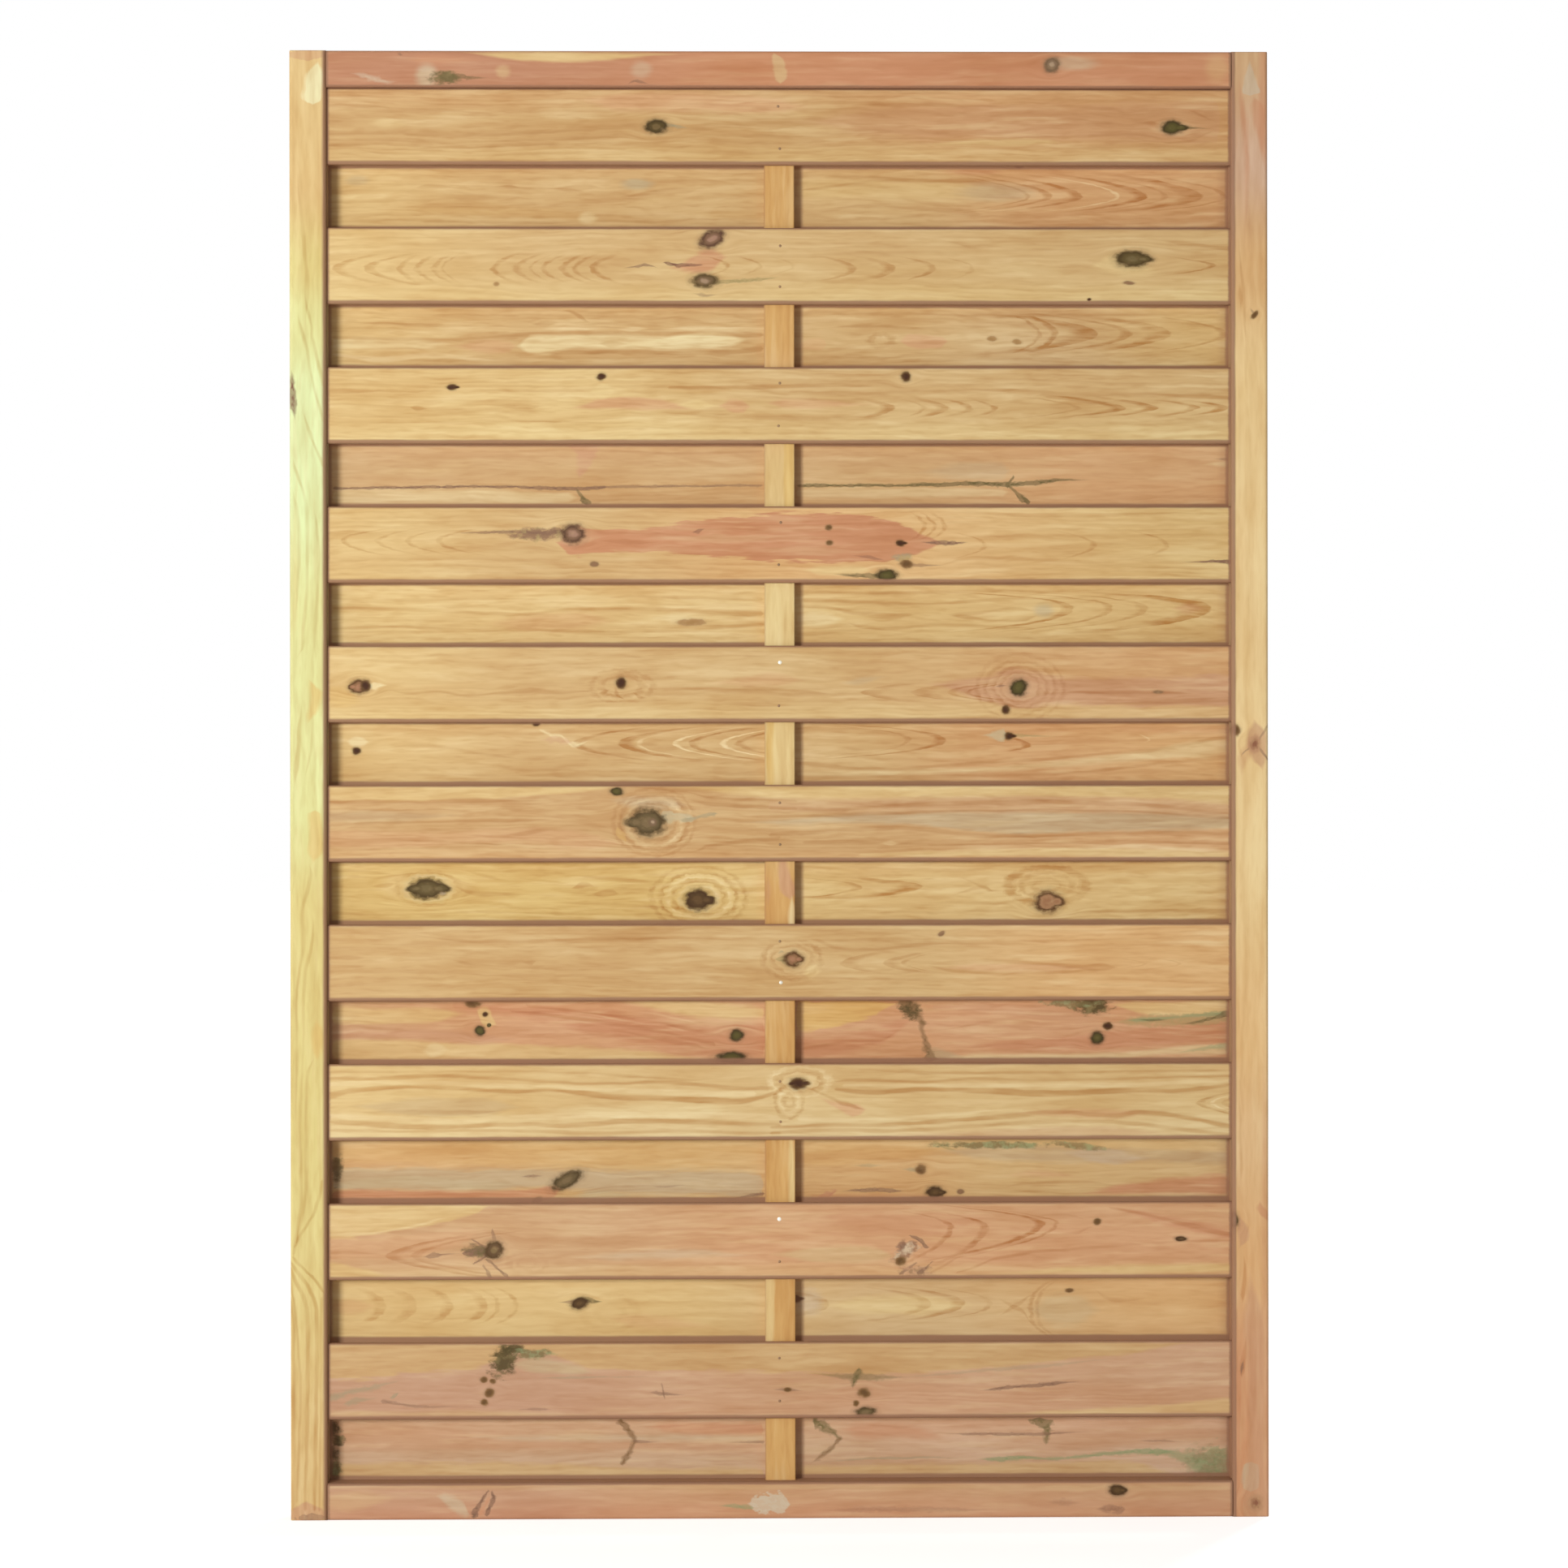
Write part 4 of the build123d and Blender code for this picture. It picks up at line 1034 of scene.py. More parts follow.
BOARDS["right_stile"] = dict(
    grain=0.4, pith=(-6, 34, 5, -2, 6.0, 0.25),
    base=[
        (70, "rose_tan"), (200, "pink_ash"), (330, "warm_honey"), (480, "bright_honey"),
        (1090, "bright_honey"), (1270, "bright_tan"), (1420, "light_tan"), (1560, "warm_tan"),
        (1700, "red_tan"),
    ],
    zones=[
        ("salmon", 0.6, 5, (1557, 64, 12), (1558, 180, 12), (1560, 220)),
        ("salmon", 0.6, 5, (1545, 118), (1550, 130, 18), (1553, 160, 14), (1556, 200)),
        ("salmon", 0.6, 5, (1526, 90), (1530, 130, 8), (1535, 170, 8), (1536, 230, 6), (1532, 330)),
        ("chalk", 0.85, 2.5, (1540, 72), (1540, 90, 11), (1541, 104, 17), (1542, 114, 22), (1540, 119)),
        ("chalk", 0.85, 2.5, (1541, 1800), (1541, 1805, 18), (1541, 1834, 18), (1541, 1839)),
        ("rose", 0.6, 6, (1540, 1560), (1545, 1620, 24), (1548, 1700, 26), (1548, 1780, 24),
         (1545, 1868, 30)),
        ("clay", 0.6, 6, (1558, 1250), (1558, 1400, 8), (1559, 1800, 6)),
        ("rose", 0.7, 5, (1545, 885), (1549, 900, 22), (1549, 920, 26), (1552, 940, 14), (1556, 950)),
        ("rose", 0.7, 4, (1524, 1492), (1530, 1510, 14), (1532, 1528, 12), (1526, 1540)),
        ("salmon", 0.6, 3, (1552, 1478), (1554, 1490, 12), (1560, 1500, 8), (1563, 1508)),
        ("clay", 0.5, 6, (1555, 890), (1535, 930, 18), (1530, 960)),
    ],
    lines=[
        (0.35, (1526, 290), (1530, 340, 5), (1534, 400, 4), (1536, 440)),
        (0.4, (1527, 345), (1528, 365, 6), (1529, 390)),
        (0.35, (1526, 1340), (1528, 1380, 4), (1529, 1440, 4), (1530, 1470)),
        (0.5, (1532, 1540), (1534, 1570, 5), (1532, 1595, 6), (1531, 1608)),
        (0.5, (1536, 1640), (1533, 1665, 6), (1530, 1690, 7), (1530, 1700)),
    ],
    knots=[
        ("spot", 1546, 388, 6, 11, -40), ("swirl", 1546, 917, 15, 22, 0), ("spot", 1523, 899, 10, 13, 0),
        ("ring", 1520, 1503, 12, 20, 0), ("swirl", 1547, 1852, 18, 20, 0),
    ],
    marks=[
        ("bark", 0.5, 1.5, (1540, 378), (1544, 385, 4), (1548, 392)),
        ("bark", 0.6, 1.5, (1552, 922, 3), (1562, 936, 4)),
        ("bark", 0.55, 1.5, (1541, 920, 3), (1534, 926, 3), (1528, 934)),
        ("bark", 0.5, 1.5, (1551, 912, 3), (1561, 894, 3)),
        ("bark", 0.7, 1.4, (1532, 1672), (1530, 1685, 4), (1529, 1698)),
    ],
)
BOARDS["centre_batten"] = dict(
    grain=0.6, pith=(10, 26, 2, 2, 6.0, 0.3),
    base=[
        (410, "golden"), (500, "warm_honey"), (580, "honey"), (755, "pale_honey"), (925, "pale_honey"),
        (1010, "honey"), (1100, "golden"),
    ],
    zones=[
        ("gold", 0.7, 3, (972, 540, 12), (972, 620, 12), (972, 640)),
        ("gold", 0.7, 3, (950, 880, 8), (948, 925, 10), (950, 965, 8)),
        ("rose", 0.8, 5, (964, 1055, 10), (966, 1080, 18), (972, 1100, 20), (974, 1110)),
        ("rose", 0.5, 4, (946, 1070), (947, 1100, 7), (946, 1125)),
        ("cream", 0.7, 3, (976, 1100), (976, 1120, 10), (976, 1140, 10)),
        ("pale_honey", 0.7, 3, (975, 1405, 6), (975, 1482, 7)),
        ("pale_honey", 0.6, 3, (948, 1574, 14), (948, 1610, 14), (948, 1651, 12)),
    ],
)


def painted_shade_of(name, mid):
    """Painted shade on a board: axis, centre, distance from it where the shade starts and where it is full,
    amount, overlap.
    """
    if name.startswith("front_slat"):
        # front slats: painted shade along the rounded long edges and at the ends by the stiles
        return ("Y", 1.2, 42.0, 45.2, 0.9, -9.0), ("X", mid, 550.5, 553.5, 0.9, 0.0)
    if name.startswith("rear_slat"):
        # rear slats: painted shade along the front slats' edges and softly towards the stiles
        return (
            ("Y", 1.5, 42.5, 46.0, 0.9, 9.0),
            ("X", mid, 538.0, 556.0, 0.35, 0.0),
            ("X", mid, 549.5, 553.5, 0.8, 0.0),
            # painted shadow of the centre batten, on the rear slats' front faces to its right
            ("X", mid + 23, 8.5, 4.5, 0.45, -20.0),
        )
    # stiles, rails and batten: painted shade along the edges that meet the slats, and at the rails' ends
    return {
        "left_stile": (("Y", 22.5, 38.0, 42.5, 0.9, 0.0),),
        "right_stile": (("Y", -22.5, 38.5, 41.5, 0.9, 0.0),),
        "top_rail": (("Y", 22.5, 41.0, 43.5, 0.9, 0.0), ("X", mid, 551.0, 554.0, 0.85, 0.0)),
        "bottom_rail": (("Y", -22.5, 41.0, 43.5, 0.9, 0.0), ("X", mid, 551.0, 554.0, 0.85, 0.0)),
        "centre_batten": (("Y", -18.5, 34.5, 37.0, 0.4, 0.0),),
    }[name]


# A curved stroke: its ramp gives the middle line and the width, and the edges fade out softly
brush = bpy.data.node_groups.new("brush_stroke", "ShaderNodeTree")
for label in ("Line", "Side", "Rise", "Least", "Swing", "Edge", "Strength"):
    kind = "NodeSocketColor" if label == "Line" else "NodeSocketFloat"
    brush.interface.new_socket(label, in_out="INPUT", socket_type=kind)
brush.interface.new_socket("Cover", in_out="OUTPUT", socket_type="NodeSocketFloat")
given = brush.nodes.new("NodeGroupInput").outputs
line = add(brush, "ShaderNodeSeparateColor", {"Color": given["Line"]}).node.outputs
off = {0: line["Red"], 1: given["Rise"], 2: given["Least"]}
off = add(brush, "ShaderNodeMath", off, operation="MULTIPLY_ADD")
off = add(brush, "ShaderNodeMath", {0: off, 1: given["Side"]}, operation="SUBTRACT")
off = add(brush, "ShaderNodeMath", {0: off}, operation="ABSOLUTE")
inside = add(brush, "ShaderNodeMath", {0: line["Green"], 1: given["Swing"]}, operation="MULTIPLY")
inside = add(brush, "ShaderNodeMath", {0: inside, 1: off}, operation="SUBTRACT")
cover = {"Value": inside, 1: 0.0, 2: given["Edge"], 3: 0.0, 4: given["Strength"]}
add(brush, "NodeGroupOutput", {"Cover": add(brush, "ShaderNodeMapRange", cover)})


def planed_pine(name, board, seed):
    """Planed pine: satin, honey to pink, with late wood in darker lines and fine fibre along it."""
    low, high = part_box(name)
    middle = (low + high) / 2
    upright = high.z - low.z > high.x - low.x
    face = (high.y - low.y) * MM / 2
    span = (high.z - low.z if upright else high.x - low.x) * MM
    half_width = (high.x - low.x if upright else high.z - low.z) * MM / 2
    material = bpy.data.materials.new("planed_pine_" + name)
    material.use_nodes = True
    tree = material.node_tree
    tree.nodes.clear()

    def place(x, y):
        """The spot of the board's front that a pixel shows: millimetres along it from its low end
        and across it, up or, on an upright, to the left of its middle."""
        seen = seen_at(x, y, low.y)
        if upright:
            return (seen.z - low.z) * MM, (middle.x - seen.x) * MM
        return (seen.x - low.x) * MM, (seen.z - middle.z) * MM

    def oval(vector, x, y, width, height, turn=0.0):
        """Coordinates that reach 1 on an ellipse round a pixel, turned against the clock, and their
        length."""
        size = (height, width, ENDLESS) if upright else (width, height, ENDLESS)
        settings = {"Location": (*place(x, y), 0), "Rotation": (0, 0, radians(turn)), "Scale": size}
        local = add(tree, "ShaderNodeMapping", {"Vector": vector} | settings, vector_type="TEXTURE")
        return local, add(tree, "ShaderNodeVectorMath", {0: local}, operation="LENGTH", out="Value")

    def patch(noise, swing, soft, strength, *spot):
        """How strongly a patch with a broken edge shows: in full inside soft[0], not past soft[1]."""
        distance = oval(placed, *spot)[1]
        distance = {0: noise, 1: swing, 2: distance}
        distance = add(tree, "ShaderNodeMath", distance, operation="MULTIPLY_ADD")
        shows = {"Value": distance, 1: soft[1], 2: soft[0], 3: 0.0, 4: strength}
        return add(tree, "ShaderNodeMapRange", shows, interpolation_type="SMOOTHSTEP")

    # Where on the board, in millimetres: along it, across it, and out of its front face
    axes = ((0, 0, 1), (-1, 0, 0), (0, -1, 0)) if upright else ((1, 0, 0), (0, 0, 1), (0, -1, 0))
    axes = Matrix(axes)
    start = Vector((middle.x, middle.y, low.z)) if upright else Vector((low.x, middle.y, middle.z))
    here = add(tree, "ShaderNodeTexCoord", out="Object")
    settings = {"Location": -MM * (axes @ start), "Rotation": axes.to_euler(), "Scale": (MM, MM, MM)}
    here = add(tree, "ShaderNodeMapping", {"Vector": here} | settings)
    apart = (seed * 37.0, seed * 11.0, seed * 5.0)

    # The grain wanders over a hand's length and ripples over a few centimetres
    slow = {"Vector": here, "Location": apart, "Scale": (1 / 260, 1 / 60, 1 / 60)}
    slow = add(tree, "ShaderNodeMapping", slow)
    slow = add(tree, "ShaderNodeTexNoise", {"Vector": slow, "Scale": 1.0, "Detail": 1.0}, out="Color")
    quick = {"Vector": here, "Location": apart, "Scale": (1 / 38, 1 / 11, 1 / 11)}
    quick = add(tree, "ShaderNodeMapping", quick)
    quick = add(tree, "ShaderNodeTexNoise", {"Vector": quick, "Scale": 1.0, "Detail": 2.0}, out="Color")
    wander, ripple = board.get("wander", 14.0), board.get("ripple", 4.0)
    drift = {0: slow, 1: (0, wander, wander), 2: here}
    drift = add(tree, "ShaderNodeVectorMath", drift, operation="MULTIPLY_ADD")
    flow = {0: quick, 1: (0, ripple, ripple), 2: drift}
    flow = add(tree, "ShaderNodeVectorMath", flow, operation="MULTIPLY_ADD")
    moved = (wander + ripple) / 2
    flow = add(tree, "ShaderNodeVectorMath", {0: flow, 1: (0, moved, moved)}, operation="SUBTRACT")

    # What has its own place strays from it only a little
    placed = add(tree, "ShaderNodeVectorMath", {0: quick, 1: (4, 3, 0), 2: here}, operation="MULTIPLY_ADD")
    placed = add(tree, "ShaderNodeVectorMath", {0: placed, 1: (2, 1.5, 0)}, operation="SUBTRACT")
    coords = add(tree, "ShaderNodeSeparateXYZ", {"Vector": placed}).node.outputs
    broken = add(tree, "ShaderNodeVectorMath", {0: flow, 1: (1 / 38, 1 / 4.5, 1 / 30)}, operation="MULTIPLY")
    broken = add(tree, "ShaderNodeTexNoise", {"Vector": broken, "Scale": 1.0, "Detail": 3.0})
    # A stroke reaches half of its width to each side, a little more in one place than in the next
    half, sway = WIDEST / 2, 0.36 * WIDEST
    uneven = {0: broken, 1: sway, 2: half - sway / 2}
    uneven = add(tree, "ShaderNodeMath", uneven, operation="MULTIPLY_ADD")
    chipped = add(tree, "ShaderNodeVectorMath", {0: here, 1: (1 / 8, 1 / 5.5, 1 / 20)}, operation="MULTIPLY")
    chipped = add(tree, "ShaderNodeTexNoise", {"Vector": chipped, "Scale": 1.0, "Detail": 2.0})
    ragged = add(tree, "ShaderNodeMath", {0: chipped, 1: 90.0, 2: -45.0}, operation="MULTIPLY_ADD")
    ragged = add(tree, "ShaderNodeMath", {0: uneven, 1: ragged}, operation="ADD")

    def stroke(points, edge, strength, width_swing):
        """How strongly a curved stroke of changing width shows, with a soft edge to it."""
        spots = [(*place(x, y), width[0] if width else 0) for x, y, *width in points]
        steep = abs(spots[-1][1] - spots[0][1]) > abs(spots[-1][0] - spots[0][0])
        spots = sorted((v, u, width) if steep else (u, v, width) for u, v, width in spots)
        for end, beyond in ((0, -4), (-1, 4)):
            run, side, width = spots[end]
            if width:
                spots.insert(len(spots) if end else 0, (run + beyond, side, 0))
        first, last = spots[0][0], spots[-1][0]
        least = min(side for _, side, _ in spots) - 1
        rise = max(side for _, side, _ in spots) + 1 - least
        stops = []
        for run, side, width in spots:
            width = width + edge / 2 if width else 0
            stop = ((side - least) / rise, width / WIDEST, 0, 1)
            stops.append(((run - first) / (last - first), stop))
        along, across = ("Y", "X") if steep else ("X", "Y")
        line = add(tree, "ShaderNodeMapRange", {"Value": coords[along], 1: first, 2: last})
        line = add(tree, "ShaderNodeValToRGB", {"Fac": line}, stops=("CARDINAL", stops))
        line = {"Line": line, "Side": coords[across], "Rise": rise, "Least": least, "Edge": edge}
        line |= {"Swing": width_swing, "Strength": strength}
        return add(tree, "ShaderNodeGroup", line, node_tree=brush)

    def drawn(distance, rows):
        """Lines of late wood at set distances, soft on the inside and crisp on the outside."""
        stops = [(min(at - thickness for at, thickness, _ in rows) - 1, 0)]
        for at, thickness, strength in sorted(rows):
            for away, shade in ((thickness, 0), (0.5 * thickness, strength), (0.8, strength), (-2, 0)):
                stops.append((max(at - away, stops[-1][0] + 0.1), shade))
        first, last = stops[0][0], stops[-1][0]
        grey = [((at - first) / (last - first), (0.5 + shade / 2,) * 3 + (1,)) for at, shade in stops]
        line = add(tree, "ShaderNodeMapRange", {"Value": distance, 1: first, 2: last})
        line = add(tree, "ShaderNodeValToRGB", {"Fac": line}, stops=("LINEAR", grey))
        return add(tree, "ShaderNodeMath", {0: line, 1: 2.0, 2: -1.0}, operation="MULTIPLY_ADD")

    # The grain parts round every knot that is more than a pin
    distances = {}
    for kind, x, y, width, height, turn, *tips in board.get("knots", ()):
        local, distance = oval(placed, x, y, width / 2, height / 2, turn)
        distances.setdefault(kind, []).append(distance)
        for tip in tips:
            point = {0: local, 1: (2 / abs(tip), 2.1, 1), 2: (-1 if tip > 0 else 1, 0, 0)}
            point = add(tree, "ShaderNodeVectorMath", point, operation="MULTIPLY_ADD")
            distance = add(tree, "ShaderNodeVectorMath", {0: point}, operation="LENGTH", out="Value")
            distances[kind].append(distance)
        if height >= 10:
            reach = 1.1 * height + 6
            around, near = oval(here, x, y, 1.6 * width + 12, reach)
            near = {"Value": near, 1: 0.15, 2: 1.0, 3: -0.85, 4: 0.0}
            near = add(tree, "ShaderNodeMapRange", near, interpolation_type="SMOOTHERSTEP")
            push = add(tree, "ShaderNodeVectorMath", {0: around, 1: (0, reach, 0)}, operation="MULTIPLY")
            push = add(tree, "ShaderNodeVectorMath", {0: push, "Scale": near}, operation="SCALE")
            flow = add(tree, "ShaderNodeVectorMath", {0: flow, 1: push}, operation="ADD")

    # Growth rings round a pith behind the board: it cuts them in long lines, ovals and arches
    across, depth, change, slope, spacing, contrast = board["pith"]
    settings = {"Location": (span / 2, across, face - depth), "Scale": (10 * ENDLESS, 1, 1)}
    settings["Rotation"] = (0, atan(change / 1000), atan(slope / 1000))
    rings = add(tree, "ShaderNodeMapping", {"Vector": flow} | settings, vector_type="TEXTURE")
    rings = add(tree, "ShaderNodeVectorMath", {0: rings}, operation="LENGTH", out="Value")
    swing = add(tree, "ShaderNodeTexNoise", {"W": rings, "Scale": 0.07, "Detail": 1.0}, noise_dimensions="1D")
    rings = add(tree, "ShaderNodeMath", {0: swing, 1: 9.0, 2: rings}, operation="MULTIPLY_ADD")
    rings = add(tree, "ShaderNodeMath", {0: rings, 1: spacing}, operation="DIVIDE")
    year = add(tree, "ShaderNodeMath", {0: rings}, operation="FLOOR")
    year = add(tree, "ShaderNodeTexWhiteNoise", {"W": year}, noise_dimensions="1D")
    year = add(tree, "ShaderNodeMapRange", {"Value": year, 3: 0.3 * contrast, 4: contrast})
    season = add(tree, "ShaderNodeMath", {0: rings}, operation="FRACT")
    late_wood = add(tree, "ShaderNodeValToRGB", {"Fac": season}, stops=SEASON)
    ring_wood = add(tree, "ShaderNodeMath", {0: late_wood, 1: year}, operation="MULTIPLY")

    # Lines, arches and ovals of late wood that have a place of their own
    late_wood = ring_wood
    for strength, *points in board.get("lines", ()):
        line = stroke(points, 2.2, strength, uneven)
        late_wood = add(tree, "ShaderNodeMath", {0: late_wood, 1: line}, operation="ADD")
    faded = add(tree, "ShaderNodeMapRange", {"Value": broken, 1: 0.38, 2: 0.6, 3: 0.6, 4: 1.35})
    for way, axis, up, down, point, arm, *tips in board.get("arches", ()):
        sign, level = (1 if way == "right" else -1), place(PHOTO_SIDE / 2, axis)[1]
        off = add(tree, "ShaderNodeMath", {0: coords["Y"], 1: level}, operation="SUBTRACT")
        above = add(tree, "ShaderNodeMath", {0: off, 1: 1 / up}, operation="MULTIPLY")
        below = add(tree, "ShaderNodeMath", {0: off, 1: -1 / down}, operation="MULTIPLY")
        fall = add(tree, "ShaderNodeMath", {0: above, 1: below}, operation="MAXIMUM")
        fall = add(tree, "ShaderNodeMath", {0: fall, 1: point}, operation="POWER")
        fall = add(tree, "ShaderNodeMath", {0: fall, 1: 100.0}, operation="MULTIPLY")
        behind = add(tree, "ShaderNodeMath", {0: coords["X"], 1: sign, 2: fall}, operation="MULTIPLY_ADD")
        behind = add(tree, "ShaderNodeMath", {0: chipped, 1: 8.0, 2: behind}, operation="MULTIPLY_ADD")
        rows = [(sign * place(tip, axis)[0] + 4, thickness, strength) for tip, thickness, strength in tips]
        arches = add(tree, "ShaderNodeMath", {0: drawn(behind, rows), 1: faded}, operation="MULTIPLY")
        short = add(tree, "ShaderNodeMapRange", {"Value": fall, 1: 0.4 * arm, 2: arm, 3: 1.0, 4: 0.0})
        late_wood = add(tree, "ShaderNodeMath", {0: arches, 1: short, 2: late_wood}, operation="MULTIPLY_ADD")
    for x, y, reach, *rows in board.get("ovals", ()):
        round_it = {0: chipped, 1: 7.0, 2: oval(placed, x, y, reach, 1.0)[1]}
        round_it = add(tree, "ShaderNodeMath", round_it, operation="MULTIPLY_ADD")
        round_it = drawn(round_it, [(at + 3.5, thickness, strength) for at, thickness, strength in rows])
        late_wood = {0: round_it, 1: faded, 2: late_wood}
        late_wood = add(tree, "ShaderNodeMath", late_wood, operation="MULTIPLY_ADD")

    # Rings show in one place and fade in the next
    shown = {"Vector": here, "Location": apart, "Scale": (1 / 70, 1 / 14, 1 / 30)}
    shown = add(tree, "ShaderNodeMapping", shown)
    shown = add(tree, "ShaderNodeTexNoise", {"Vector": shown, "Scale": 1.0, "Detail": 2.0})
    shown = add(tree, "ShaderNodeMapRange", {"Value": shown, 1: 0.34, 2: 0.62, 3: 0.5, 4: 1.0})
    late_wood = add(tree, "ShaderNodeMath", {0: late_wood, 1: shown}, operation="MULTIPLY")

    # Streaks a few millimetres high, cloudy patches, and fibre drawn a little coarser than the
    # real 0.1 mm so that it shows
    streaks = add(tree, "ShaderNodeVectorMath", {0: flow, 1: (1 / 110, 1 / 8, 1 / 8)}, operation="MULTIPLY")
    streaks = add(tree, "ShaderNodeTexNoise", {"Vector": streaks, "Scale": 1.0, "Detail": 2.0})
    patches = {"Vector": drift, "Location": apart, "Scale": (1 / 150, 1 / 34, 1 / 34)}
    patches = add(tree, "ShaderNodeMapping", patches)
    patches = add(tree, "ShaderNodeTexNoise", {"Vector": patches, "Scale": 1.0, "Detail": 3.0})
    flecks = add(tree, "ShaderNodeVectorMath", {0: flow, 1: (1 / 28, 1 / 4.6, 1 / 4.6)}, operation="MULTIPLY")
    flecks = add(tree, "ShaderNodeTexNoise", {"Vector": flecks, "Scale": 1.0, "Detail": 1.0})
    fibre = add(tree, "ShaderNodeVectorMath", {0: drift, 1: (1 / 26, 1 / 1.2, 1 / 1.2)}, operation="MULTIPLY")
    fibre = add(tree, "ShaderNodeTexNoise", {"Vector": fibre, "Scale": 1.0, "Detail": 2.0})

    # The wood's own colour, down its length and across it
    split = add(tree, "ShaderNodeSeparateXYZ", {"Vector": flow}).node.outputs
    centre = PHOTO_SIDE / 2
    tones = [(place(centre, at)[0] if upright else place(at, centre)[0], tone) for at, tone in board["base"]]
    tones = [(at / span, linear(TONES[tone])) for at, tone in sorted(tones)]
    at = add(tree, "ShaderNodeMath", {0: split["X"], 1: span}, operation="DIVIDE")
    colour = add(tree, "ShaderNodeValToRGB", {"Fac": at}, stops=("EASE", tones))
    if "bands" in board:
        tones = [(place(at, centre)[1] if upright else place(centre, at)[1], tone, cover)
                 for at, tone, cover in board["bands"]]
        tones = [(0.5 + at / (2 * half_width), linear(TONES[tone], cover))
                 for at, tone, cover in sorted(tones)]
        at = add(tree, "ShaderNodeMapRange", {"Value": split["Y"], 1: -half_width, 2: half_width})
        band = add(tree, "ShaderNodeValToRGB", {"Fac": at}, stops=("EASE", tones)).node.outputs
        band = {"Factor": band["Alpha"], "A": colour, "B": band["Color"]}
        colour = add(tree, "ShaderNodeMix", band, data_type="RGBA")

    # Stains and resin, with edges that follow the fibre
    for tone, strength, edge, *points in board.get("zones", ()):
        zone = {"Factor": stroke(points, edge, strength, uneven), "A": colour, "B": linear(TONES[tone])}
        colour = add(tree, "ShaderNodeMix", zone, data_type="RGBA")
    for tone, *spot, strength in board.get("stains", ()):
        stain = patch(broken, 0.65, (0.82, 1.82), strength, *spot)
        stain = {"Factor": stain, "A": colour, "B": linear(TONES[tone])}
        colour = add(tree, "ShaderNodeMix", stain, data_type="RGBA")

    # Late wood, streaks, patches and fibre darken it towards amber, and between them it is paler
    grain = board["grain"]
    for figure, least, most, amount, tint, blend in (
        (streaks, 0.48, 0.3, 0.3 * grain, "#f2dfae", "MIX"),
        (late_wood, 0.0, -1.0, 0.9, "#f0deb0", "MIX"),
        (late_wood, 0.0, 1.0, 1.0, "#d8ba96", "MULTIPLY"),
        (streaks, 0.46, 0.72, 0.42 * grain, "#e2c8aa", "MULTIPLY"),
        (flecks, 0.48, 0.7, 0.32 * grain, "#e0c6a4", "MULTIPLY"),
        (patches, 0.42, 0.72, 0.6, "#ecdcc6", "MULTIPLY"),
        (fibre, 0.4, 0.8, 0.08 * grain, "#dccdb8", "MULTIPLY"),
    ):
        figure = add(tree, "ShaderNodeMapRange", {"Value": figure, 1: least, 2: most, 3: 0.0, 4: amount})
        figure = {"Factor": figure, "A": colour, "B": linear(tint)}
        colour = add(tree, "ShaderNodeMix", figure, data_type="RGBA", blend_type=blend)

    # Cracks and dark dashes lie over the grain
    worn = add(tree, "ShaderNodeMapRange", {"Value": chipped, 1: 0.32, 2: 0.56, 3: 1.35, 4: 0.85})
    for tone, strength, edge, *points in board.get("marks", ()):
        mark = {0: stroke(points, edge, strength, ragged), 1: worn}
        mark = add(tree, "ShaderNodeMath", mark, operation="MULTIPLY")
        mark = {"Factor": mark, "A": colour, "B": linear(TONES[tone])}
        colour = add(tree, "ShaderNodeMix", mark, data_type="RGBA")

    # Mould and rot are blotched, from green to nearly black
    if "moulds" in board:
        blotch = {0: here, 1: (1 / 11, 1 / 6, 1 / 20)}
        blotch = add(tree, "ShaderNodeVectorMath", blotch, operation="MULTIPLY")
        blotch = {"Vector": blotch, "Scale": 1.0, "Detail": 4.0, "Roughness": 0.65}
        blotch = add(tree, "ShaderNodeTexNoise", blotch)
        depths = add(tree, "ShaderNodeTexNoise", {"Vector": here, "Scale": 1 / 9, "Detail": 3.0})
        depths = add(tree, "ShaderNodeMapRange", {"Value": depths, 1: 0.38, 2: 0.56})
    for tone, deep_tone, *spot, strength in board.get("moulds", ()):
        mould = {"Factor": depths, "A": linear(TONES[tone]), "B": linear(TONES[deep_tone])}
        mould = add(tree, "ShaderNodeMix", mould, data_type="RGBA")
        mould = {"Factor": patch(blotch, 2.2, (1.65, 2.4), strength, *spot), "A": colour, "B": mould}
        colour = add(tree, "ShaderNodeMix", mould, data_type="RGBA")

    # Knots, mottled and with broken rims
    for kind, several in distances.items():
        nearest = several[0]
        for other in several[1:]:
            nearest = add(tree, "ShaderNodeMath", {0: nearest, 1: other}, operation="MINIMUM")
        nearest = add(tree, "ShaderNodeMath", {0: chipped, 1: 0.6, 2: nearest}, operation="MULTIPLY_ADD")
        nearest = add(tree, "ShaderNodeMath", {0: nearest, 1: 0.5, 2: -0.15}, operation="MULTIPLY_ADD")
        middle_tone, half_tone, rim_tone, mottle = KNOTS[kind]
        cut = [(0.1, linear(middle_tone)), (0.25, linear(half_tone))]
        cut += [(radii / 2, linear(rim_tone, cover)) for radii, cover in RIM_FADE]
        knot = add(tree, "ShaderNodeValToRGB", {"Fac": nearest}, stops=("EASE", cut)).node.outputs
        mottled = add(tree, "ShaderNodeMapRange", {"Value": chipped, 1: 0.5, 2: 0.8, 3: 0.0, 4: mottle})
        mottled = {"Factor": mottled, "A": knot["Color"], "B": linear("#c4a070")}
        mottled = add(tree, "ShaderNodeMix", mottled, data_type="RGBA")
        knot = {"Factor": knot["Alpha"], "A": colour, "B": mottled}
        colour = add(tree, "ShaderNodeMix", knot, data_type="RGBA")
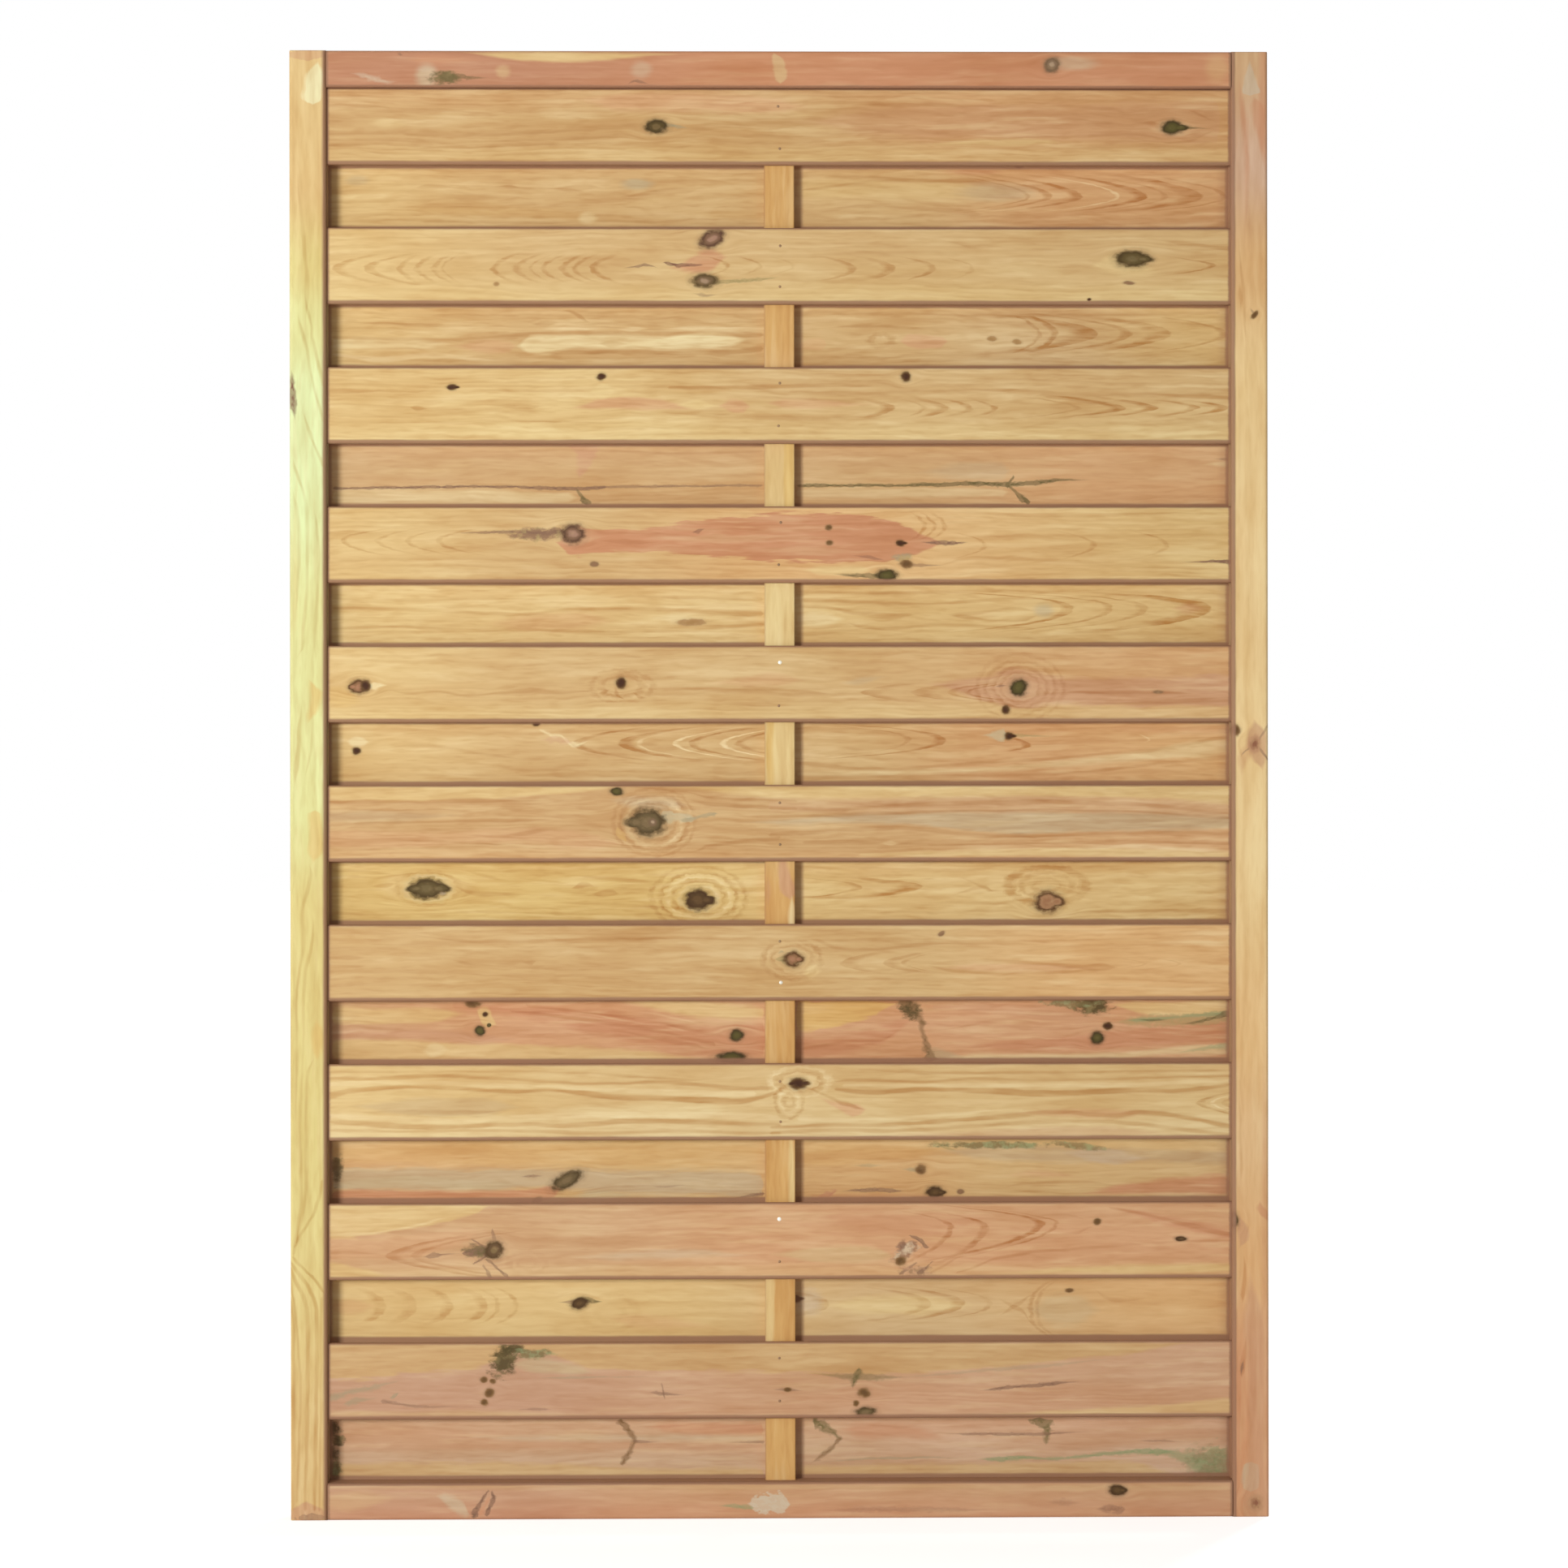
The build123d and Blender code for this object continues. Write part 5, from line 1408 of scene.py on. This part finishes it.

    # Painted shade: boards are darkened along their rounded edges, on a slat along its overlap, at its ends
    # by the stiles and beside the batten, standing in for the shade there
    plain = add(tree, "ShaderNodeSeparateXYZ", {"Vector": here}).node.outputs
    outside = add(tree, "ShaderNodeMath", {0: plain["Z"]}, operation="ABSOLUTE")
    outside = {"Value": outside, 1: face - 9, 2: face - 4, 3: 0.3 if "slat" in name else 0.85, 4: 1.0}
    outside = add(tree, "ShaderNodeMapRange", outside)
    for axis, centre, shade_starts, shade_full, amount, overlap in painted_shade_of(name, span / 2):
        off = add(tree, "ShaderNodeMath", {0: plain[axis], 1: centre}, operation="SUBTRACT")
        off = add(tree, "ShaderNodeMath", {0: off}, operation="ABSOLUTE")
        lapped = {"Value": plain["Z"], 1: -1.0, 2: 1.0, 3: max(-overlap, 0.0), 4: max(overlap, 0.0)}
        lapped = add(tree, "ShaderNodeMapRange", lapped)
        off = add(tree, "ShaderNodeMath", {0: off, 1: lapped}, operation="ADD")
        off = add(tree, "ShaderNodeMath", {0: broken, 1: 1.6, 2: off}, operation="MULTIPLY_ADD")
        off = {"Value": off, 1: shade_starts + 0.8, 2: shade_full + 0.8, 3: 0.0, 4: amount}
        off = add(tree, "ShaderNodeMapRange", off, interpolation_type="SMOOTHSTEP")
        off = add(tree, "ShaderNodeMath", {0: off, 1: outside}, operation="MULTIPLY")
        painted_shade = {"Factor": off, "A": colour, "B": linear(TONES["painted_edge_shade"])}
        colour = add(tree, "ShaderNodeMix", painted_shade, data_type="RGBA")

    # Satin: early wood is a little rougher than late wood, and lower between the growth rings
    relief = add(tree, "ShaderNodeMath", {0: ring_wood, 1: 0.12, 2: fibre}, operation="MULTIPLY_ADD")
    rough = add(tree, "ShaderNodeMapRange", {"Value": late_wood, 3: 0.68, 4: 0.58})
    bump = add(tree, "ShaderNodeBump", {"Strength": 0.35, "Distance": 0.0003, "Height": relief})
    satin = {"Base Color": colour, "Roughness": rough, "Normal": bump, "IOR": 1.45, "Specular IOR Level": 0.3}
    shader = add(tree, "ShaderNodeBsdfPrincipled", satin)
    add(tree, "ShaderNodeOutputMaterial", {"Surface": shader})
    return material


for seed, (name, board) in enumerate(BOARDS.items(), 1):
    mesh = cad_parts[name].data
    material = planed_pine(name, board, seed)
    for slot in range(max(1, len(mesh.materials))):
        if slot < len(mesh.materials):
            mesh.materials[slot] = material
        else:
            mesh.materials.append(material)

# Nails: two heads on each slat, where it crosses the centre batten, front and back
nailing = bpy.data.node_groups.new("nail_heads", "GeometryNodeTree")
sockets = {}
for label, kind, value in (
    ("Slats in a row", "NodeSocketInt", 10),
    ("Slat pitch", "NodeSocketVector", (0, 0, -0.171)),
    ("First slat", "NodeSocketVector", (0, 0, 0)),
    ("Nail spacing", "NodeSocketVector", (0, 0, 0.052)),
    ("Stray", "NodeSocketVector", (0.0015, 0, 0.0015)),
    ("Head radius", "NodeSocketFloat", 0.0017),
    ("Head rise", "NodeSocketFloat", 0.0005),
    ("Bright from", "NodeSocketFloat", 0.84),
    ("Shine seed", "NodeSocketInt", 104659),
    ("Finish", "NodeSocketMaterial", None),
):
    sockets[label] = nailing.interface.new_socket(label, in_out="INPUT", socket_type=kind)
    if value is not None:
        sockets[label].default_value = value
nailing.interface.new_socket("Geometry", in_out="OUTPUT", socket_type="NodeSocketGeometry")
given = nailing.nodes.new("NodeGroupInput").outputs
slats = {"Count": given["Slats in a row"], "Start Location": given["First slat"]}
slats["Offset"] = given["Slat pitch"]
slats = add(nailing, "GeometryNodeMeshLine", slats)
half_down = add(nailing, "ShaderNodeVectorMath", {0: given["Nail spacing"], "Scale": -0.5}, operation="SCALE")
pair = {"Count": 2, "Start Location": half_down, "Offset": given["Nail spacing"]}
pair = add(nailing, "GeometryNodeMeshLine", pair)
pairs = add(nailing, "GeometryNodeInstanceOnPoints", {"Points": slats, "Instance": pair})
pairs = add(nailing, "GeometryNodeRealizeInstances", {"Geometry": pairs})
least = add(nailing, "ShaderNodeVectorMath", {0: given["Stray"], "Scale": -1.0}, operation="SCALE")
stray = {"Min": least, "Max": given["Stray"], "Seed": 4}
stray = add(nailing, "FunctionNodeRandomValue", stray, data_type="FLOAT_VECTOR")
pairs = add(nailing, "GeometryNodeSetPosition", {"Geometry": pairs, "Offset": stray})

# The few painted near-white as glints, a painted highlight, keep their whole head; the others have sunk a
# little into the wood
luck = {"Max": 1.0, "Seed": given["Shine seed"]}
luck = add(nailing, "FunctionNodeRandomValue", luck, data_type="FLOAT")
painted_glint = add(nailing, "ShaderNodeMapRange", {"Value": luck, 1: given["Bright from"], 2: 1.0, 3: 0.4, 4: 1.0})
bright = add(nailing, "ShaderNodeMath", {0: luck, 1: given["Bright from"]}, operation="GREATER_THAN")
painted_glint = add(nailing, "ShaderNodeMath", {0: painted_glint, 1: bright}, operation="MULTIPLY")
pairs = {"Geometry": pairs, "Name": "painted_glint", "Value": painted_glint}
pairs = add(nailing, "GeometryNodeStoreNamedAttribute", pairs, data_type="FLOAT", domain="POINT")
head = {"Segments": 16, "Rings": 8, "Radius": given["Head radius"]}
head = add(nailing, "GeometryNodeMeshUVSphere", head)
flat = add(nailing, "ShaderNodeMath", {0: given["Head rise"], 1: given["Head radius"]}, operation="DIVIDE")
flat = add(nailing, "ShaderNodeCombineXYZ", {"X": 1.0, "Y": flat, "Z": 1.0})
whole = add(nailing, "ShaderNodeMath", {0: painted_glint, 1: 0.5, 2: 1.0}, operation="MULTIPLY_ADD")
flat = add(nailing, "ShaderNodeVectorMath", {0: flat, "Scale": whole}, operation="SCALE")
heads = add(nailing, "GeometryNodeInstanceOnPoints", {"Points": pairs, "Instance": head, "Scale": flat})
heads = add(nailing, "GeometryNodeRealizeInstances", {"Geometry": heads})
heads = add(nailing, "GeometryNodeSetMaterial", {"Geometry": heads, "Material": given["Finish"]})
add(nailing, "NodeGroupOutput", {"Geometry": heads})

# Galvanised wire nails: dull zinc, most stained brown by the wood's tannin; a few are painted near-white as
# glints, a painted highlight
zinc = bpy.data.materials.new("galvanised_nail")
zinc.use_nodes = True
zinc.node_tree.nodes.clear()
where = add(zinc.node_tree, "ShaderNodeTexCoord", out="Object")
spangle = add(zinc.node_tree, "ShaderNodeTexVoronoi", {"Vector": where, "Scale": 900.0}, out="Color")
stained = add(zinc.node_tree, "ShaderNodeTexNoise", {"Vector": where, "Scale": 12.0, "Detail": 0.0})
stained = {"Factor": stained, "A": linear("#6a4c36"), "B": linear("#9c7c58")}
stained = add(zinc.node_tree, "ShaderNodeMix", stained, data_type="RGBA")
painted_glint = add(zinc.node_tree, "ShaderNodeAttribute", out="Fac", attribute_name="painted_glint")
stain_and_glint = {"Factor": painted_glint, "A": stained, "B": linear("#f2eede")}
stain_and_glint = add(zinc.node_tree, "ShaderNodeMix", stain_and_glint, data_type="RGBA")
stain_and_glint = {"Factor": 0.12, "A": stain_and_glint, "B": spangle}
stain_and_glint = add(zinc.node_tree, "ShaderNodeMix", stain_and_glint, data_type="RGBA", blend_type="SOFT_LIGHT")
metal = {"Base Color": stain_and_glint, "Metallic": 0.4, "Roughness": 0.5}
metal = add(zinc.node_tree, "ShaderNodeBsdfPrincipled", metal)
add(zinc.node_tree, "ShaderNodeOutputMaterial", {"Surface": metal})

for row in ("front", "rear"):
    low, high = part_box(f"{row}_slat_01")
    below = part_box(f"{row}_slat_02")[0]
    first = ((low.x + high.x) / 2, low.y if row == "front" else high.y, (low.z + high.z) / 2)
    holder = bpy.data.objects.new(f"{row}_nail_heads_tree", bpy.data.meshes.new("empty"))
    bpy.context.collection.objects.link(holder)
    modifier = holder.modifiers.new("nails", "NODES")
    modifier.node_group = nailing
    for label, value in (("First slat", first), ("Slat pitch", (0, 0, below.z - low.z)), ("Finish", zinc)):
        modifier[sockets[label].identifier] = value
    bpy.context.view_layer.update()
    evaluated = holder.evaluated_get(bpy.context.evaluated_depsgraph_get())
    heads = bpy.data.objects.new(f"{row}_nail_heads", bpy.data.meshes.new_from_object(evaluated))
    bpy.data.objects.remove(holder)
    bpy.context.collection.objects.link(heads)
    for face in heads.data.polygons:
        face.use_smooth = True
    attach(heads, "root")

# Studio: a white surround, a pale floor that keeps the panel's shadow, and two soft lamps
def white_seen(tree, seen, elsewhere):
    """A strength of `seen` where the camera, a reflection or glass looks, and `elsewhere` for light."""
    path = add(tree, "ShaderNodeLightPath").node
    either = path.outputs["Is Camera Ray"]
    for ray in ("Is Glossy Ray", "Is Transmission Ray"):
        either = add(tree, "ShaderNodeMath", {0: either, 1: path.outputs[ray]}, operation="MAXIMUM")
    return add(tree, "ShaderNodeMapRange", {"Value": either, 3: elsewhere, 4: seen})


world = bpy.data.worlds.new("white_surround")
world.use_nodes = True
world.node_tree.nodes.clear()
sky = {"Color": (1, 1, 1, 1), "Strength": white_seen(world.node_tree, 1.0, 0.34)}
sky = add(world.node_tree, "ShaderNodeBackground", sky)
add(world.node_tree, "ShaderNodeOutputWorld", {"Surface": sky})
bpy.context.scene.world = world

paper = bpy.data.materials.new("pale_floor")
paper.use_nodes = True
paper.node_tree.nodes.clear()
matt = add(paper.node_tree, "ShaderNodeBsdfDiffuse", {"Color": (0.8, 0.8, 0.8, 1)})
# Further off the lamps light it less, so more of its white is only seen
away = add(paper.node_tree, "ShaderNodeTexCoord", out="Object")
away = add(paper.node_tree, "ShaderNodeVectorMath", {0: away}, operation="LENGTH", out="Value")
away = {"Value": away, 1: 1.5, 2: 5.0, 3: 0.6, 4: 1.0}
away = add(paper.node_tree, "ShaderNodeMapRange", away, interpolation_type="SMOOTHSTEP")
seen = {0: away, 1: white_seen(paper.node_tree, 1.0, 0.0)}
seen = add(paper.node_tree, "ShaderNodeMath", seen, operation="MULTIPLY")
glow = add(paper.node_tree, "ShaderNodeEmission", {"Strength": seen})
matt = add(paper.node_tree, "ShaderNodeAddShader", {0: matt, 1: glow})
add(paper.node_tree, "ShaderNodeOutputMaterial", {"Surface": matt})
disc = bpy.data.meshes.new("floor")
rim = [(0.6 + 30 * cos(k * pi / 32), 30 * sin(k * pi / 32), cad_box[0][2]) for k in range(64)]
disc.from_pydata(rim, [], [list(range(64))])
disc.materials.append(paper)
floor = bpy.data.objects.new("floor", disc)
bpy.context.collection.objects.link(floor)

for label, place, power in (("key_lamp", (-2.3, -4.5, 0.35), 202.0), ("back_lamp", (2.7, 4.0, 2.4), 150.0)):
    lamp = bpy.data.lights.new(label, "AREA")
    lamp.energy, lamp.size = power, 1.2
    holder = bpy.data.objects.new(label, lamp)
    holder.location = place
    holder.rotation_euler = (Vector((0.6, 0, 0)) - Vector(place)).to_track_quat("-Z", "Y").to_euler()
    bpy.context.collection.objects.link(holder)
